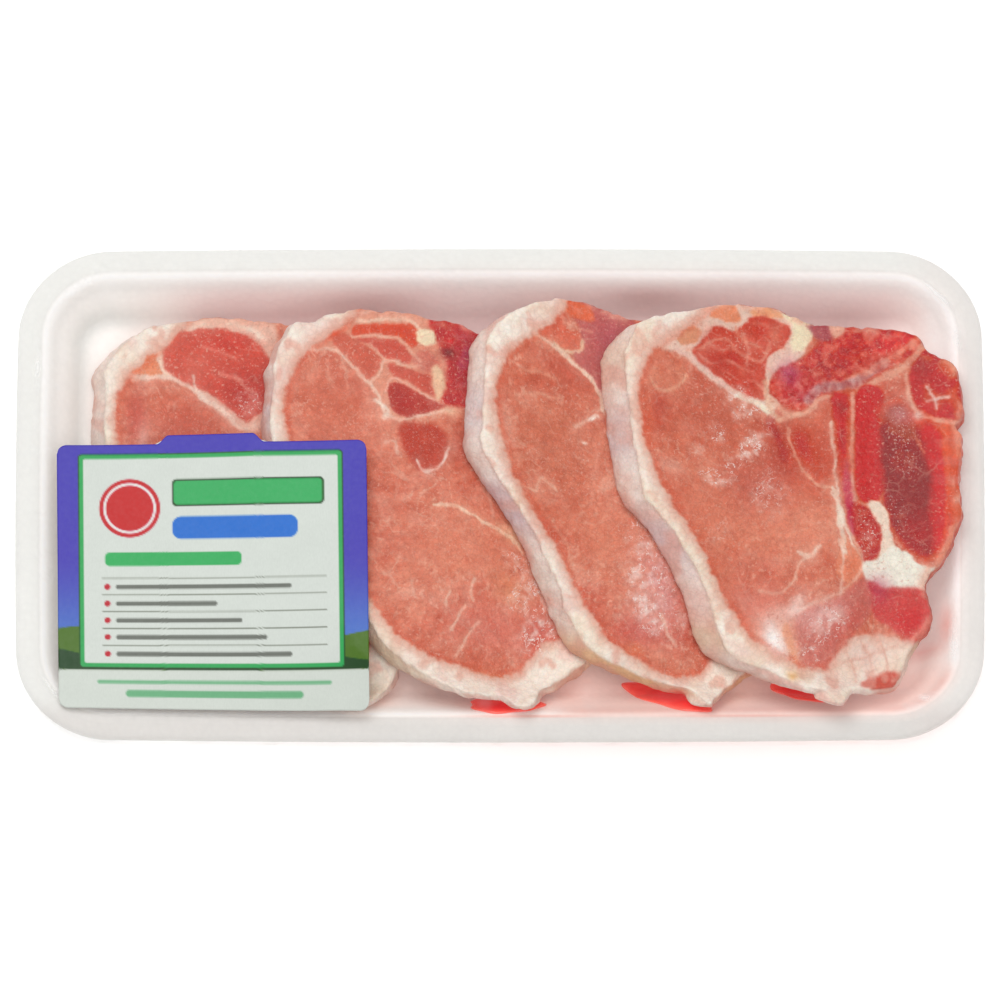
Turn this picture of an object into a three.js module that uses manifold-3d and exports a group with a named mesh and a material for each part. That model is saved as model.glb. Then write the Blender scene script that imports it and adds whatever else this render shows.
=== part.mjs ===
// Overwrapped meat tray: a shallow foam tray with four thin-cut loin chops laid like
// shingles, a little juice under their tips, a stretched clear film and a paper label.
// Millimetres. +X runs along the tray, +Y to its back edge, +Z up. The origin lies under
// the middle of the pack, at the lowest face of the film.
import * as THREE from 'three';
import { mergeVertices } from 'three/addons/utils/BufferGeometryUtils.js';
import Module from 'manifold-3d';

const wasm = await Module();
wasm.setup();

// Clearances and sheet thicknesses
const GAP = 0.35;
const FILM = 0.4;
const FOOD_GAP = 0.8;
const LABEL_THICKNESS = 0.3;

// Tray: the plan outline, the bow of its sides, and the wall as pairs of inset and height
const TRAY_LENGTH = 274;
const TRAY_WIDTH = 147;
const CORNER_RADIUS = 26;
const CORNER_STEPS = 5;
const SIDE_BOW = 1.1;
const TRAY_BASE = FILM + GAP;
const FLOOR = 4;
const RIM_TOP = 16;
const INNER_WALL = [[6.4, RIM_TOP], [8.4, 14.9], [10.4, 12.7], [16.5, 5.6], [18.5, 4.4], [21, FLOOR]];
const OUTER_WALL = [[2.2, RIM_TOP], [0.7, 15.5], [0, 14.6], [0, 13.4], [1, 12.4], [5, 11.4],
  [6.5, 10], [13.1, 1.4], [15.2, 0]];

// Chops: slices of one loin, so they share most of an outline. They differ in place, in the
// slant of the fat side and how far it bulges at four heights, in the front round the tip and
// in the back over the bone
const CHOPS = [
  {
    name: 'chop_1', shift: -147, flare: 3.7, turn: 0.4, boneShift: 8, seamShift: -1,
    bulge: [1.7, 1.7, 1, 0],
    front: [[65, -45.5], [73, -53], [93, -58.8], [102, -60.2], [107, -63], [110.5, -60], [115, -56],
      [119, -47], [120.5, -38]],
    back: [[130, 27], [125, 38], [116, 46.5], [104, 49], [91, 51], [81, 52.8], [70, 54.2], [58, 54],
      [48, 51], [41, 47], [36.2, 40], [35.4, 31]],
  },
  {
    name: 'chop_2', shift: -98.5, flare: 2.5, turn: 1.9, boneShift: 0, seamShift: -1.6,
    bulge: [3.2, 3.8, 1.6, 0],
    front: [[66, -47], [78, -55.8], [88, -60.8], [98, -63], [106.5, -64.2], [111, -58], [117, -52.8],
      [123.5, -46.5], [122.5, -38]],
    back: [[130, 27], [125, 36], [116, 42], [105, 44], [93, 46.2], [86, 49], [79, 50.2], [69.5, 52.3],
      [57.5, 52.8], [50.4, 51.8], [45.5, 50], [40.2, 48.6], [36.8, 44.5], [35, 38], [34.4, 30]],
  },
  {
    name: 'chop_3', shift: -40.3, flare: 4.8, turn: 3.1, boneShift: 0, seamShift: 0,
    bulge: [1.5, 3.2, 0.8, 0],
    front: [[65, -47.5], [76.5, -53.5], [87, -56.6], [95, -59.8], [99.7, -63.6], [104, -57.2], [109, -52.2],
      [115.5, -48], [120.5, -38]],
    back: [[130, 27], [126, 38], [118, 46.5], [106, 48.5], [90, 49.5], [77.5, 50.8], [70.5, 52.6],
      [64, 54.7], [55, 54.4], [48, 52], [41, 47.6], [36.4, 41.5], [35.4, 31]],
  },
  {
    name: 'chop_4', shift: 0, flare: 6.8, turn: 5.2, boneShift: 0, seamShift: 0,
    bulge: [0, 0.8, 3.4, 1.7],
    front: [[64.5, -49], [75, -54.2], [83, -58.4], [91, -61], [95.5, -63.6], [99.5, -59.4], [111, -56.8],
      [115.5, -48.5], [121.5, -38]],
    back: [[130, 27], [127, 36], [121, 42.3], [117, 46.3], [108.5, 48], [92, 48.3], [87.5, 49],
      [82.5, 52], [75.5, 54], [63.5, 53.2], [56, 51], [47, 48.8], [41, 45.8], [36.8, 40.8], [35.4, 32]],
  },
];
const THICKNESS = 9.5;
const FOOD_SHIFT = -1;
const CHOP_MIDDLE = [84, FOOD_SHIFT];
const RIGHT_REACH = 131.5;
const FRONT_START = -20;
const FRONT_TAPER = 0.5;
const DRAPE_LENGTH = 48;
const END_RAMP_START = 34;
const WALL_PRESS = 0.35;
const TIP_START = -48;
const TIP_LENGTH = 14;
const TIP_THINNING = 0.28;
const TIP_LIFT = 1.7;
const EDGE_ROUNDING = 1.3;
const SIDE_TOP = 0.86;
const SIDE_FOOT = 0.18;
const WOBBLE = 0.6;
const OUTLINE_STEPS = 44;
const CORNER_KNOTS = 3;
const RING_SHARES = [0.3, 0.55, 0.8];
const PRISM_LOW = -5;
const PRISM_HEIGHT = 60;

// Label: lies on the film at the front left, a little turned and pulled askew. Its columns are
// closer at the corners and at both ends of the tab
const LABEL_SIZE = [87.6, 77.5];
const LABEL_CENTRE = [-81, -26.7];
const LABEL_TURN = -0.022;
const LABEL_LEAN = 0.0135;
const LABEL_CORNER = 2.8;
const LABEL_TAB = { left: 28.3, right: 58.8, rise: 2.6 };
const LABEL_COLUMNS = [12, 20, 26.3, 29.3, 37, 46, 57.8, 60.8, 68, 78];
const LABEL_ROWS = 11;
const LABEL_CLEARANCE = 0.6;
const LABEL_REACH = 2;

// Juice pools under the tips of chops 2, 3 and 4: middle, half axes and turn
const POOLS = [
  { name: 'juice_2', x: 1.5, y: -61.2, length: 10.5, width: 4, turn: 0 },
  { name: 'juice_3', x: 48.3, y: -58.2, length: 13.5, width: 4.4, turn: -0.36 },
  { name: 'juice_4', x: 86, y: -55.2, length: 9.5, width: 4.2, turn: -0.25 },
];
const POOL_DEPTH = 0.9;
const POOL_STEPS = 14;
const POOL_FLAT = 0.6;
const POOL_EDGE = 0.5;
const POOL_FOOT = 0.95;

// Film: a grid of columns and rows over the pack, how far it bulges over food beside its front
// and back edges, the profile of its sides as pairs of inset and height, and the half axes of
// the slot that its folds leave underneath
const FILM_EDGE_INSET = 1.6;
const FILM_COLUMNS = 22;
const FILM_ROWS = 14;
const FILM_PASSES = 600;
const FILM_BULGE = 1.6;
const FILM_SIDE = [[0, 16], [-0.4, 14.8], [-0.4, 13.1], [14.4, -0.35]];
const FILM_SLOT = [70, 4];

const HALF_LENGTH = TRAY_LENGTH / 2;
const HALF_WIDTH = TRAY_WIDTH / 2;

function smooth(share) {
  const s = THREE.MathUtils.clamp(share, 0, 1);
  return s * s * (3 - 2 * s);
}

// A closed skin is gathered from rings of points that are joined one to the next
class Skin {
  constructor() {
    this.positions = [];
    this.faces = [];
  }

  add([x, y, z]) {
    this.positions.push(x, y, z);
    return this.positions.length / 3 - 1;
  }

  ring(points) {
    return points.map((point) => this.add(point));
  }

  join(from, to) {
    from.forEach((corner, i) => {
      const next = (i + 1) % from.length;
      this.faces.push(corner, to[i], to[next], corner, to[next], from[next]);
    });
  }

  fan(centre, ring, upward) {
    const middle = this.add(centre);
    ring.forEach((corner, i) => {
      const next = ring[(i + 1) % ring.length];
      this.faces.push(middle, ...(upward ? [corner, next] : [next, corner]));
    });
  }

  sheet(grid, upward) {
    for (let i = 0; i + 1 < grid.length; i += 1) {
      for (let j = 0; j + 1 < grid[i].length; j += 1) {
        const [a, b, c, d] = [grid[i][j], grid[i + 1][j], grid[i + 1][j + 1], grid[i][j + 1]];
        this.faces.push(...(upward ? [a, b, c, a, c, d] : [a, c, b, a, d, c]));
      }
    }
  }

  geometry() {
    const geometry = new THREE.BufferGeometry();
    geometry.setAttribute('position', new THREE.Float32BufferAttribute(this.positions, 3));
    geometry.setIndex(this.faces);
    return geometry;
  }
}

// Rings that start round a centre on top and end round one below
function roundSkin(rings, topCentre, lowCentre) {
  const skin = new Skin();
  const loops = rings.map((points) => skin.ring(points));
  skin.fan(topCentre, loops[0], true);
  for (let i = 0; i + 1 < loops.length; i += 1) skin.join(loops[i], loops[i + 1]);
  skin.fan(lowCentre, loops[loops.length - 1], false);
  return skin.geometry();
}

// The edge of a grid of points, anticlockwise from its first corner
function gridEdge(grid) {
  const last = grid[0].length - 1;
  const end = grid.length - 1;
  const front = grid.map((column) => column[0]);
  const back = grid.map((column) => column[last]).reverse();
  return [...front.slice(0, -1), ...grid[end].slice(0, -1), ...back.slice(0, -1),
    ...grid[0].slice(1).reverse()];
}

// Tray plan: a rounded rectangle whose sides bow outwards
function bowed(x, y) {
  return [
    x * (1 - (SIDE_BOW / HALF_LENGTH) * (y / HALF_WIDTH) ** 2),
    y * (1 - (SIDE_BOW / HALF_WIDTH) * (x / HALF_LENGTH) ** 2),
  ];
}

function insetAt(x, y) {
  const squareX = x * (1 + (SIDE_BOW / HALF_LENGTH) * (y / HALF_WIDTH) ** 2);
  const squareY = y * (1 + (SIDE_BOW / HALF_WIDTH) * (x / HALF_LENGTH) ** 2);
  const beyondX = Math.abs(squareX) - (HALF_LENGTH - CORNER_RADIUS);
  const beyondY = Math.abs(squareY) - (HALF_WIDTH - CORNER_RADIUS);
  const outside = Math.hypot(Math.max(beyondX, 0), Math.max(beyondY, 0));
  return CORNER_RADIUS - outside - Math.min(Math.max(beyondX, beyondY), 0);
}

function edgeNormal(x, y) {
  const beyondX = Math.abs(x) - (HALF_LENGTH - CORNER_RADIUS);
  const beyondY = Math.abs(y) - (HALF_WIDTH - CORNER_RADIUS);
  const normal = new THREE.Vector2(Math.max(beyondX, 0), Math.max(beyondY, 0)).normalize();
  return [normal.x * Math.sign(x), normal.y * Math.sign(y)];
}

// A ring round the tray at one inset and height, through given points of its outline
function trayRing(outline, inset, z) {
  return outline.map(([x, y]) => {
    const [normalX, normalY] = edgeNormal(x, y);
    return [...bowed(x - normalX * inset, y - normalY * inset), z];
  });
}

function trayOutline() {
  const cornerX = HALF_LENGTH - CORNER_RADIUS;
  const cornerY = HALF_WIDTH - CORNER_RADIUS;
  const corners = [[cornerX, -cornerY], [cornerX, cornerY], [-cornerX, cornerY], [-cornerX, -cornerY]];
  const sideSteps = [2, 4, 2, 4];
  const points = [];
  corners.forEach(([x, y], corner) => {
    for (let step = 0; step <= CORNER_STEPS; step += 1) {
      const angle = ((corner - 1 + step / CORNER_STEPS) * Math.PI) / 2;
      points.push([x + CORNER_RADIUS * Math.cos(angle), y + CORNER_RADIUS * Math.sin(angle)]);
    }
    const [startX, startY] = points[points.length - 1];
    const [nextX, nextY] = corners[(corner + 1) % 4];
    const along = corner % 2 ? [nextX - startX, 0] : [0, nextY - startY];
    for (let step = 1; step < sideSteps[corner]; step += 1) {
      const share = step / sideSteps[corner];
      points.push([startX + along[0] * share, startY + along[1] * share]);
    }
  });
  return points;
}

function innerWallHeight(inset) {
  if (inset <= INNER_WALL[0][0]) return TRAY_BASE + RIM_TOP;
  for (let i = 0; i + 1 < INNER_WALL.length; i += 1) {
    const [nearInset, nearZ] = INNER_WALL[i];
    const [farInset, farZ] = INNER_WALL[i + 1];
    if (inset <= farInset) {
      return TRAY_BASE + nearZ + ((farZ - nearZ) * (inset - nearInset)) / (farInset - nearInset);
    }
  }
  return TRAY_BASE + FLOOR;
}

function trayGeometry() {
  const outline = trayOutline();
  const profile = [...INNER_WALL].reverse().concat(OUTER_WALL);
  const rings = profile.map(([inset, z]) => trayRing(outline, inset, z + TRAY_BASE));
  return roundSkin(rings, [0, 0, TRAY_BASE + FLOOR], [0, 0, TRAY_BASE]);
}

// What a chop rests on without the others: the floor and walls, and at the right end a long
// ramp, because the stiff last chop bridges the corner between floor and wall
function restHeight(x, y) {
  const wall = innerWallHeight(insetAt(x, y));
  const rise = smooth((END_RAMP_START - (HALF_LENGTH - x)) / (END_RAMP_START - INNER_WALL[0][0]));
  const ramp = TRAY_BASE + FLOOR + (RIM_TOP - FLOOR) * rise;
  return (wall + ramp + Math.hypot(wall - ramp, rise)) / 2;
}

// How much of a lower chop still lifts what is over it: all of it up to its right edge
function liftShare(lower, x, y) {
  const edge = lower.shift + RIGHT_REACH - FRONT_TAPER * Math.max(0, FRONT_START - y);
  return 1 - smooth((x - edge) / DRAPE_LENGTH);
}

function chopLow(index, x, y) {
  const tipLift = index ? TIP_LIFT * smooth((TIP_START - y) / TIP_LENGTH) : 0;
  const lowers = CHOPS.slice(0, index);
  const lift = lowers.reduce((sum, lower) => sum + liftShare(lower, x, y), 0);
  return restHeight(x, y) + FOOD_GAP + tipLift + (THICKNESS + FOOD_GAP) * lift;
}

function chopThickness(x, y) {
  const pressed = WALL_PRESS * smooth((restHeight(x, y) - TRAY_BASE - FLOOR) / (RIM_TOP - FLOOR));
  const thinned = TIP_THINNING * smooth((TIP_START - y) / TIP_LENGTH);
  return THICKNESS * (1 - pressed) * (1 - thinned);
}

// Outline of the loin slice, from the back left corner, which is the last knots of the back,
// down the fat side to the tip, along the flank, up past the notch to the chine bone, and back
// along the top
function chopOutline({ shift, bulge, front, back, turn }) {
  const fatSide = [[36.6, 19], [39.2, 7], [44, -5], [51, -17.5]];
  const knots = [
    ...back.slice(-CORNER_KNOTS), ...fatSide.map(([x, y], i) => [x - bulge[i], y]), [57.5, -31],
    ...front, [119.5, -28], [126, -20], [129.6, -9], [129.3, 8], ...back.slice(0, -CORNER_KNOTS),
  ].map(([x, y]) => [x, y + FOOD_SHIFT]);
  const curve = new THREE.CatmullRomCurve3(
    knots.map(([x, y]) => new THREE.Vector3(x, y, 0)), true, 'centripetal');
  const points = curve.getSpacedPoints(OUTLINE_STEPS).slice(0, OUTLINE_STEPS);
  return points.map(({ x, y }, i) => {
    const angle = (i / OUTLINE_STEPS) * Math.PI * 2;
    const wave = WOBBLE * Math.sin(5 * angle + turn) * Math.cos(2 * angle + turn * 2);
    const [middleX, middleY] = CHOP_MIDDLE;
    const reach = Math.hypot(x - middleX, y - middleY);
    return [
      shift + x + (wave * (x - middleX)) / reach,
      y + (wave * (y - middleY)) / reach,
    ];
  });
}

// Outline moved out by a distance along its own normals, or in where it is negative
function offsetOutline(points, distance) {
  return points.map(([x, y], i) => {
    const [beforeX, beforeY] = points[(i + points.length - 1) % points.length];
    const [afterX, afterY] = points[(i + 1) % points.length];
    const length = Math.hypot(afterX - beforeX, afterY - beforeY);
    return [
      x + (distance * (afterY - beforeY)) / length,
      y - (distance * (afterX - beforeX)) / length,
    ];
  });
}

// Slanted side: the foot of the fat side reaches further left than its top edge
function flaredOutline(points, flare) {
  return points.map(([x, y], i) => {
    const [beforeX, beforeY] = points[(i + points.length - 1) % points.length];
    const [afterX, afterY] = points[(i + 1) % points.length];
    const length = Math.hypot(afterX - beforeX, afterY - beforeY);
    const leftward = Math.max(0, (beforeY - afterY) / length);
    return [x - flare * leftward, y];
  });
}

function chopGeometry(chop, index) {
  const [middleX, middleY] = CHOP_MIDDLE;
  const middle = [chop.shift + middleX, middleY];
  const outline = chopOutline(chop);
  const foot = flaredOutline(outline, chop.flare);
  const ringAt = (points, share) => points.map(([x, y]) => {
    const low = chopLow(index, x, y);
    return [x, y, low + share * chopThickness(x, y)];
  });
  const inward = (points, share, level) => ringAt(points.map(([x, y]) => [
    middle[0] + share * (x - middle[0]), middle[1] + share * (y - middle[1])]), level);
  const topEdge = offsetOutline(outline, -EDGE_ROUNDING);
  const lowEdge = offsetOutline(foot, -EDGE_ROUNDING);
  const rings = [
    ...RING_SHARES.map((share) => inward(topEdge, share, 1)),
    ringAt(topEdge, 1),
    ringAt(outline, SIDE_TOP),
    ringAt(foot, SIDE_FOOT),
    ringAt(lowEdge, 0),
    ...[...RING_SHARES].reverse().map((share) => inward(lowEdge, share, 0)),
  ];
  const [top] = inward([middle], 1, 1);
  const [low] = inward([middle], 1, 0);
  return roundSkin(rings, top, low);
}

// Cutting and joining
function toSolid(geometry) {
  const bare = geometry.clone();
  bare.deleteAttribute('normal');
  bare.deleteAttribute('uv');
  const merged = mergeVertices(bare);
  return new wasm.Manifold(new wasm.Mesh({
    numProp: 3,
    vertProperties: new Float32Array(merged.attributes.position.array),
    triVerts: new Uint32Array(merged.index.array),
  }));
}

function toGeometry(solid) {
  const mesh = solid.getMesh();
  const geometry = new THREE.BufferGeometry();
  geometry.setAttribute('position', new THREE.BufferAttribute(mesh.vertProperties, 3));
  geometry.setIndex(new THREE.BufferAttribute(mesh.triVerts, 1));
  return geometry;
}

function prism(points) {
  const shape = new THREE.Shape(points.map(([x, y]) => new THREE.Vector2(x, y)));
  const geometry = new THREE.ExtrudeGeometry(shape, { depth: PRISM_HEIGHT, bevelEnabled: false });
  geometry.translate(0, 0, PRISM_LOW);
  return toSolid(geometry);
}

// T-shaped bone: the knuckle and body of the vertebra, open to the top edge, and the thin
// process that runs down between loin and tenderloin
function boneOutline({ shift, boneShift }) {
  const knots = [
    [90, 57], [91.5, 47], [89.5, 42.5], [85.5, 38.5], [80, 36.2], [76, 34], [76, 30.5], [80, 25.5],
    [85, 23], [89, 26.5], [92, 30.5], [94.5, 28], [95.4, 14], [97, -1], [99, -12], [103, -20],
    [103.8, -12], [101.8, 0], [101, 14], [101.5, 31], [106, 35.5], [112, 39.5], [121, 44],
    [127, 52], [112, 57],
  ];
  return knots.map(([x, y]) => [shift + boneShift + x, y + FOOD_SHIFT]);
}

// Fat side: everything left of and in front of the seam against the lean
function fatRegion({ shift, front, seamShift }) {
  const tip = front[4][0];
  const outer = [[63, 70], [10, 70], [10, -75], [140, -75]];
  const tipSeam = [
    [140, -44], [tip + 19, -43.5], [tip + 10, -42.2], [tip + 4, -43], [tip + 1, -47],
    [tip - 3, -52.5], [tip - 10, -54], [79, -50.4], [70.5, -45],
  ];
  const sideSeam = [
    [64.5, -36], [60.5, -27.5], [55.6, -17.5], [49.4, -8.5], [44, 1.5], [40.8, 12], [39.2, 22],
    [39.8, 30], [42.5, 36.5], [48.5, 42.5], [55, 47.5], [59, 52],
  ];
  return [
    ...[...outer, ...tipSeam].map(([x, y]) => [shift + x, y + FOOD_SHIFT]),
    ...sideSeam.map(([x, y]) => [shift + seamShift + x, y + FOOD_SHIFT]),
  ];
}

function chopPieces(chop, index) {
  const whole = toSolid(chopGeometry(chop, index));
  const bone = boneOutline(chop);
  const fat = fatRegion(chop);
  const boneless = whole.subtract(prism(offsetOutline(bone, GAP)));
  return {
    bone: toGeometry(whole.intersect(prism(bone))),
    fat: toGeometry(boneless.intersect(prism(fat))),
    lean: toGeometry(boneless.subtract(prism(offsetOutline(fat, GAP)))),
  };
}

// Plan of each chop at its foot, a gap wider all round
const chopPlans = CHOPS.map((chop) => (
  offsetOutline(flaredOutline(chopOutline(chop), chop.flare), GAP)));

// Juice: a flat drop that follows the tray's front wall and thins out under the meat
function poolGeometry({ x, y, length, width, turn }) {
  const pointAt = (px, py, height) => {
    const ceilings = chopPlans.map((plan, index) => (
      contains(plan, px, py) ? chopLow(index, px, py) - GAP : Infinity));
    return [px, py, Math.min(innerWallHeight(insetAt(px, py)) + GAP + height, ...ceilings)];
  };
  const ring = (share, height) => Array.from({ length: POOL_STEPS }, (_, i) => {
    const angle = (i / POOL_STEPS) * Math.PI * 2;
    const along = share * length * Math.cos(angle);
    const across = share * width * Math.sin(angle);
    const px = x + along * Math.cos(turn) - across * Math.sin(turn);
    const py = y + along * Math.sin(turn) + across * Math.cos(turn);
    return pointAt(px, py, height);
  });
  const rings = [ring(POOL_FLAT, POOL_DEPTH), ring(1, POOL_DEPTH * POOL_EDGE), ring(POOL_FOOT, 0)];
  return roundSkin(rings, pointAt(x, y, POOL_DEPTH), pointAt(x, y, 0));
}

// The film is relaxed like a stretched skin over the highest things in the pack
function filmColumns() {
  const radius = CORNER_RADIUS - FILM_EDGE_INSET;
  const straight = HALF_LENGTH - CORNER_RADIUS;
  const corner = Array.from({ length: CORNER_STEPS }, (_, i) => {
    const angle = ((CORNER_STEPS - i) / CORNER_STEPS) * (Math.PI / 2);
    return straight + radius * Math.sin(angle);
  });
  const middle = Array.from({ length: FILM_COLUMNS + 1 }, (_, i) => (
    straight * (2 * (i / FILM_COLUMNS) - 1)));
  return [...corner.map((x) => -x), ...middle, ...corner.reverse()];
}

function filmHalfWidth(x) {
  const radius = CORNER_RADIUS - FILM_EDGE_INSET;
  const beyond = Math.max(0, Math.abs(x) - (HALF_LENGTH - CORNER_RADIUS));
  return HALF_WIDTH - CORNER_RADIUS + Math.sqrt(Math.max(0, radius ** 2 - beyond ** 2));
}

function contains(points, x, y) {
  let inside = false;
  points.forEach(([ax, ay], i) => {
    const [bx, by] = points[(i + 1) % points.length];
    if ((ay > y) !== (by > y) && x < ((bx - ax) * (y - ay)) / (by - ay) + ax) inside = !inside;
  });
  return inside;
}

// Highest solid at a place
function packTop(x, y) {
  const tops = chopPlans.map((outline, index) => (
    contains(outline, x, y) ? chopLow(index, x, y) + chopThickness(x, y) : 0));
  return Math.max(innerWallHeight(insetAt(x, y)), ...tops);
}

function highestNear(x, y, reachX, reachY) {
  const shares = [-1, -0.75, -0.5, -0.25, 0, 0.25, 0.5, 0.75, 1];
  return Math.max(...shares.flatMap((i) => (
    shares.map((j) => packTop(x + i * reachX, y + j * reachY)))));
}

function relaxedFilm() {
  const columns = filmColumns();
  const cell = (2 * (HALF_LENGTH - CORNER_RADIUS)) / FILM_COLUMNS;
  const plan = columns.map((x) => Array.from({ length: FILM_ROWS + 1 }, (_, j) => (
    [x, filmHalfWidth(x) * (2 * (j / FILM_ROWS) - 1)])));
  const rim = TRAY_BASE + RIM_TOP + GAP;
  const bulge = (j, z) => (j === 1 || j === FILM_ROWS - 1 ? FILM_BULGE * smooth(z - rim) : 0);
  const under = plan.map((column) => column.map(([x, y], j) => {
    const z = highestNear(...bowed(x, y), cell, (2 * HALF_WIDTH) / FILM_ROWS) + GAP;
    return z + bulge(j, z);
  }));
  const heights = under.map((column, i) => column.map((z, j) => {
    const edge = i === 0 || j === 0 || i === under.length - 1 || j === FILM_ROWS;
    return edge ? rim : z;
  }));
  for (let pass = 0; pass < FILM_PASSES; pass += 1) {
    for (let i = 1; i + 1 < heights.length; i += 1) {
      for (let j = 1; j < FILM_ROWS; j += 1) {
        const spread = heights[i - 1][j] + heights[i + 1][j] + heights[i][j - 1] + heights[i][j + 1];
        heights[i][j] = Math.max(under[i][j], spread / 4);
      }
    }
  }
  return { plan, heights };
}

const film = relaxedFilm();

function filmGeometry() {
  const skin = new Skin();
  const sheet = (lift) => film.plan.map((column, i) => column.map(([x, y], j) => (
    skin.add([...bowed(x, y), film.heights[i][j] + lift]))));
  const edge = gridEdge(film.plan).map(([x, y]) => {
    const [normalX, normalY] = edgeNormal(x, y);
    return [x + normalX * FILM_EDGE_INSET, y + normalY * FILM_EDGE_INSET];
  });
  const slot = (z) => gridEdge(film.plan).map(([x, y]) => (
    [(FILM_SLOT[0] * x) / HALF_LENGTH, (FILM_SLOT[1] * y) / filmHalfWidth(x), z]));
  const outer = sheet(FILM);
  const inner = sheet(0);
  const outside = FILM_SIDE.map(([inset, z]) => skin.ring(trayRing(edge, inset - FILM,
    Math.max(z + TRAY_BASE - FILM * (z < 0), 0))));
  const inside = FILM_SIDE.map(([inset, z]) => skin.ring(trayRing(edge, inset, z + TRAY_BASE)));
  const loops = [gridEdge(outer), ...outside, skin.ring(slot(0)), skin.ring(slot(FILM)),
    ...inside.reverse(), gridEdge(inner)];
  skin.sheet(outer, true);
  for (let i = 0; i + 1 < loops.length; i += 1) skin.join(loops[i], loops[i + 1]);
  skin.sheet(inner, false);
  return skin.geometry();
}

// Film height over any place, from its grid
function filmHeight(x, y) {
  const columns = film.plan.map((column) => column[0][0]);
  const i = THREE.MathUtils.clamp(columns.findIndex((c) => c > x) - 1, 0, columns.length - 2);
  const shareX = (x - columns[i]) / (columns[i + 1] - columns[i]);
  const row = ((y / filmHalfWidth(x) + 1) / 2) * FILM_ROWS;
  const j = THREE.MathUtils.clamp(Math.floor(row), 0, FILM_ROWS - 1);
  const shareY = row - j;
  const { heights } = film;
  const near = heights[i][j] * (1 - shareX) + heights[i + 1][j] * shareX;
  const far = heights[i][j + 1] * (1 - shareX) + heights[i + 1][j + 1] * shareX;
  return near * (1 - shareY) + far * shareY;
}

// Label: a rounded rectangle with a low tab on its back edge, laid over the film
function labelGeometry() {
  const [length, width] = LABEL_SIZE;
  const { left, right, rise } = LABEL_TAB;
  const corner = LABEL_CORNER;
  const ends = [0, 0.3 * corner, corner];
  const columns = [...ends, ...LABEL_COLUMNS, ...ends.map((x) => length - x).reverse()];
  const rounding = (x) => {
    const beyond = Math.max(0, corner - x, x - (length - corner));
    return corner - Math.sqrt(Math.max(0, corner ** 2 - beyond ** 2));
  };
  const backEdge = (x) => width - rounding(x) + (x > left && x < right ? rise : 0);
  const clear = GAP + FILM + LABEL_CLEARANCE;
  const around = [-LABEL_REACH, 0, LABEL_REACH];
  const pointAt = (x, y) => {
    const along = x - length / 2;
    const across = y - width / 2;
    const px = LABEL_CENTRE[0] + along * Math.cos(LABEL_TURN) - across * Math.sin(LABEL_LEAN);
    const py = LABEL_CENTRE[1] + along * Math.sin(LABEL_TURN) + across * Math.cos(LABEL_LEAN);
    const near = around.flatMap((i) => around.map((j) => filmHeight(px + i, py + j)));
    return [px, py, Math.max(...near) + clear];
  };
  const skin = new Skin();
  const sheet = (lift) => columns.map((x) => (
    Array.from({ length: LABEL_ROWS + 1 }, (_, j) => {
      const low = rounding(x);
      const [px, py, z] = pointAt(x, low + (backEdge(x) - low) * (j / LABEL_ROWS));
      return skin.add([px, py, z + lift]);
    })));
  const upper = sheet(LABEL_THICKNESS);
  const lower = sheet(0);
  skin.sheet(upper, true);
  skin.join(gridEdge(upper), gridEdge(lower));
  skin.sheet(lower, false);
  return skin.geometry();
}

// Finishes seen in the pack
const finishes = {
  foam: { color: 0xefece8, roughness: 0.75, metalness: 0 },
  film: { color: 0xf4f6f8, roughness: 0.08, metalness: 0, transparent: true, opacity: 0.25 },
  paper: { color: 0xdde6dd, roughness: 0.35, metalness: 0 },
  lean: { color: 0xdb7f66, roughness: 0.4, metalness: 0 },
  fat: { color: 0xf0dccb, roughness: 0.45, metalness: 0 },
  bone: { color: 0xcf6a5a, roughness: 0.5, metalness: 0 },
  juice: { color: 0xc8302a, roughness: 0.1, metalness: 0 },
};

const pack = new THREE.Group();

function place(name, geometry, finish) {
  const mesh = new THREE.Mesh(geometry, new THREE.MeshStandardMaterial(finishes[finish]));
  mesh.name = name;
  pack.add(mesh);
}

place('tray', trayGeometry(), 'foam');
CHOPS.forEach((chop, index) => {
  const pieces = chopPieces(chop, index);
  Object.entries(pieces).forEach(([piece, geometry]) => {
    place(`${chop.name}_${piece}`, geometry, piece);
  });
});
POOLS.forEach((pool) => place(pool.name, poolGeometry(pool), 'juice'));
place('film', filmGeometry(), 'film');
place('label', labelGeometry(), 'paper');

export default pack;
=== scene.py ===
"""Overwrapped meat tray: foam tray, four loin chops, juice, stretched film and a paper label.

Lengths are in millimetres until a mesh is made, which turns them into metres.
"""

import math

import bpy
import numpy as np
from mathutils import Matrix, Vector


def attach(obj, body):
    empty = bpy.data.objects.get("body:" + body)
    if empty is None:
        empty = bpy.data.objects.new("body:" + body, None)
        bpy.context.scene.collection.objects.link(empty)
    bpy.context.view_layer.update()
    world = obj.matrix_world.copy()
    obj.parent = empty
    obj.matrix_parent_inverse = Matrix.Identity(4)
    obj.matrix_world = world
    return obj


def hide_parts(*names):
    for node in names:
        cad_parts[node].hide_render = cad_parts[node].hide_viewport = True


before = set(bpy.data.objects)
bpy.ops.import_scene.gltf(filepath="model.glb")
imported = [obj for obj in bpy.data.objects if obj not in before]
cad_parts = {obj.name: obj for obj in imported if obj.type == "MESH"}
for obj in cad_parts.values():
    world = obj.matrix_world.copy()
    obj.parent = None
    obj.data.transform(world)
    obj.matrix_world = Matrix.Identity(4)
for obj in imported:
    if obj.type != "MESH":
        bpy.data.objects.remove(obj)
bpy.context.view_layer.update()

# Tray: half of each side, and the wall as pairs of inset and height
HALF_LENGTH = 137.0
HALF_WIDTH = 73.5
CORNER_RADIUS = 26.0
SIDE_BOW = 1.1
TRAY_BASE = 0.75
FLOOR = 4.0
RIM_TOP = 16.0
INNER_WALL = [(6.4, 16), (8.4, 14.9), (10.4, 12.7), (16.5, 5.6), (18.5, 4.4), (21, 4)]
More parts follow.
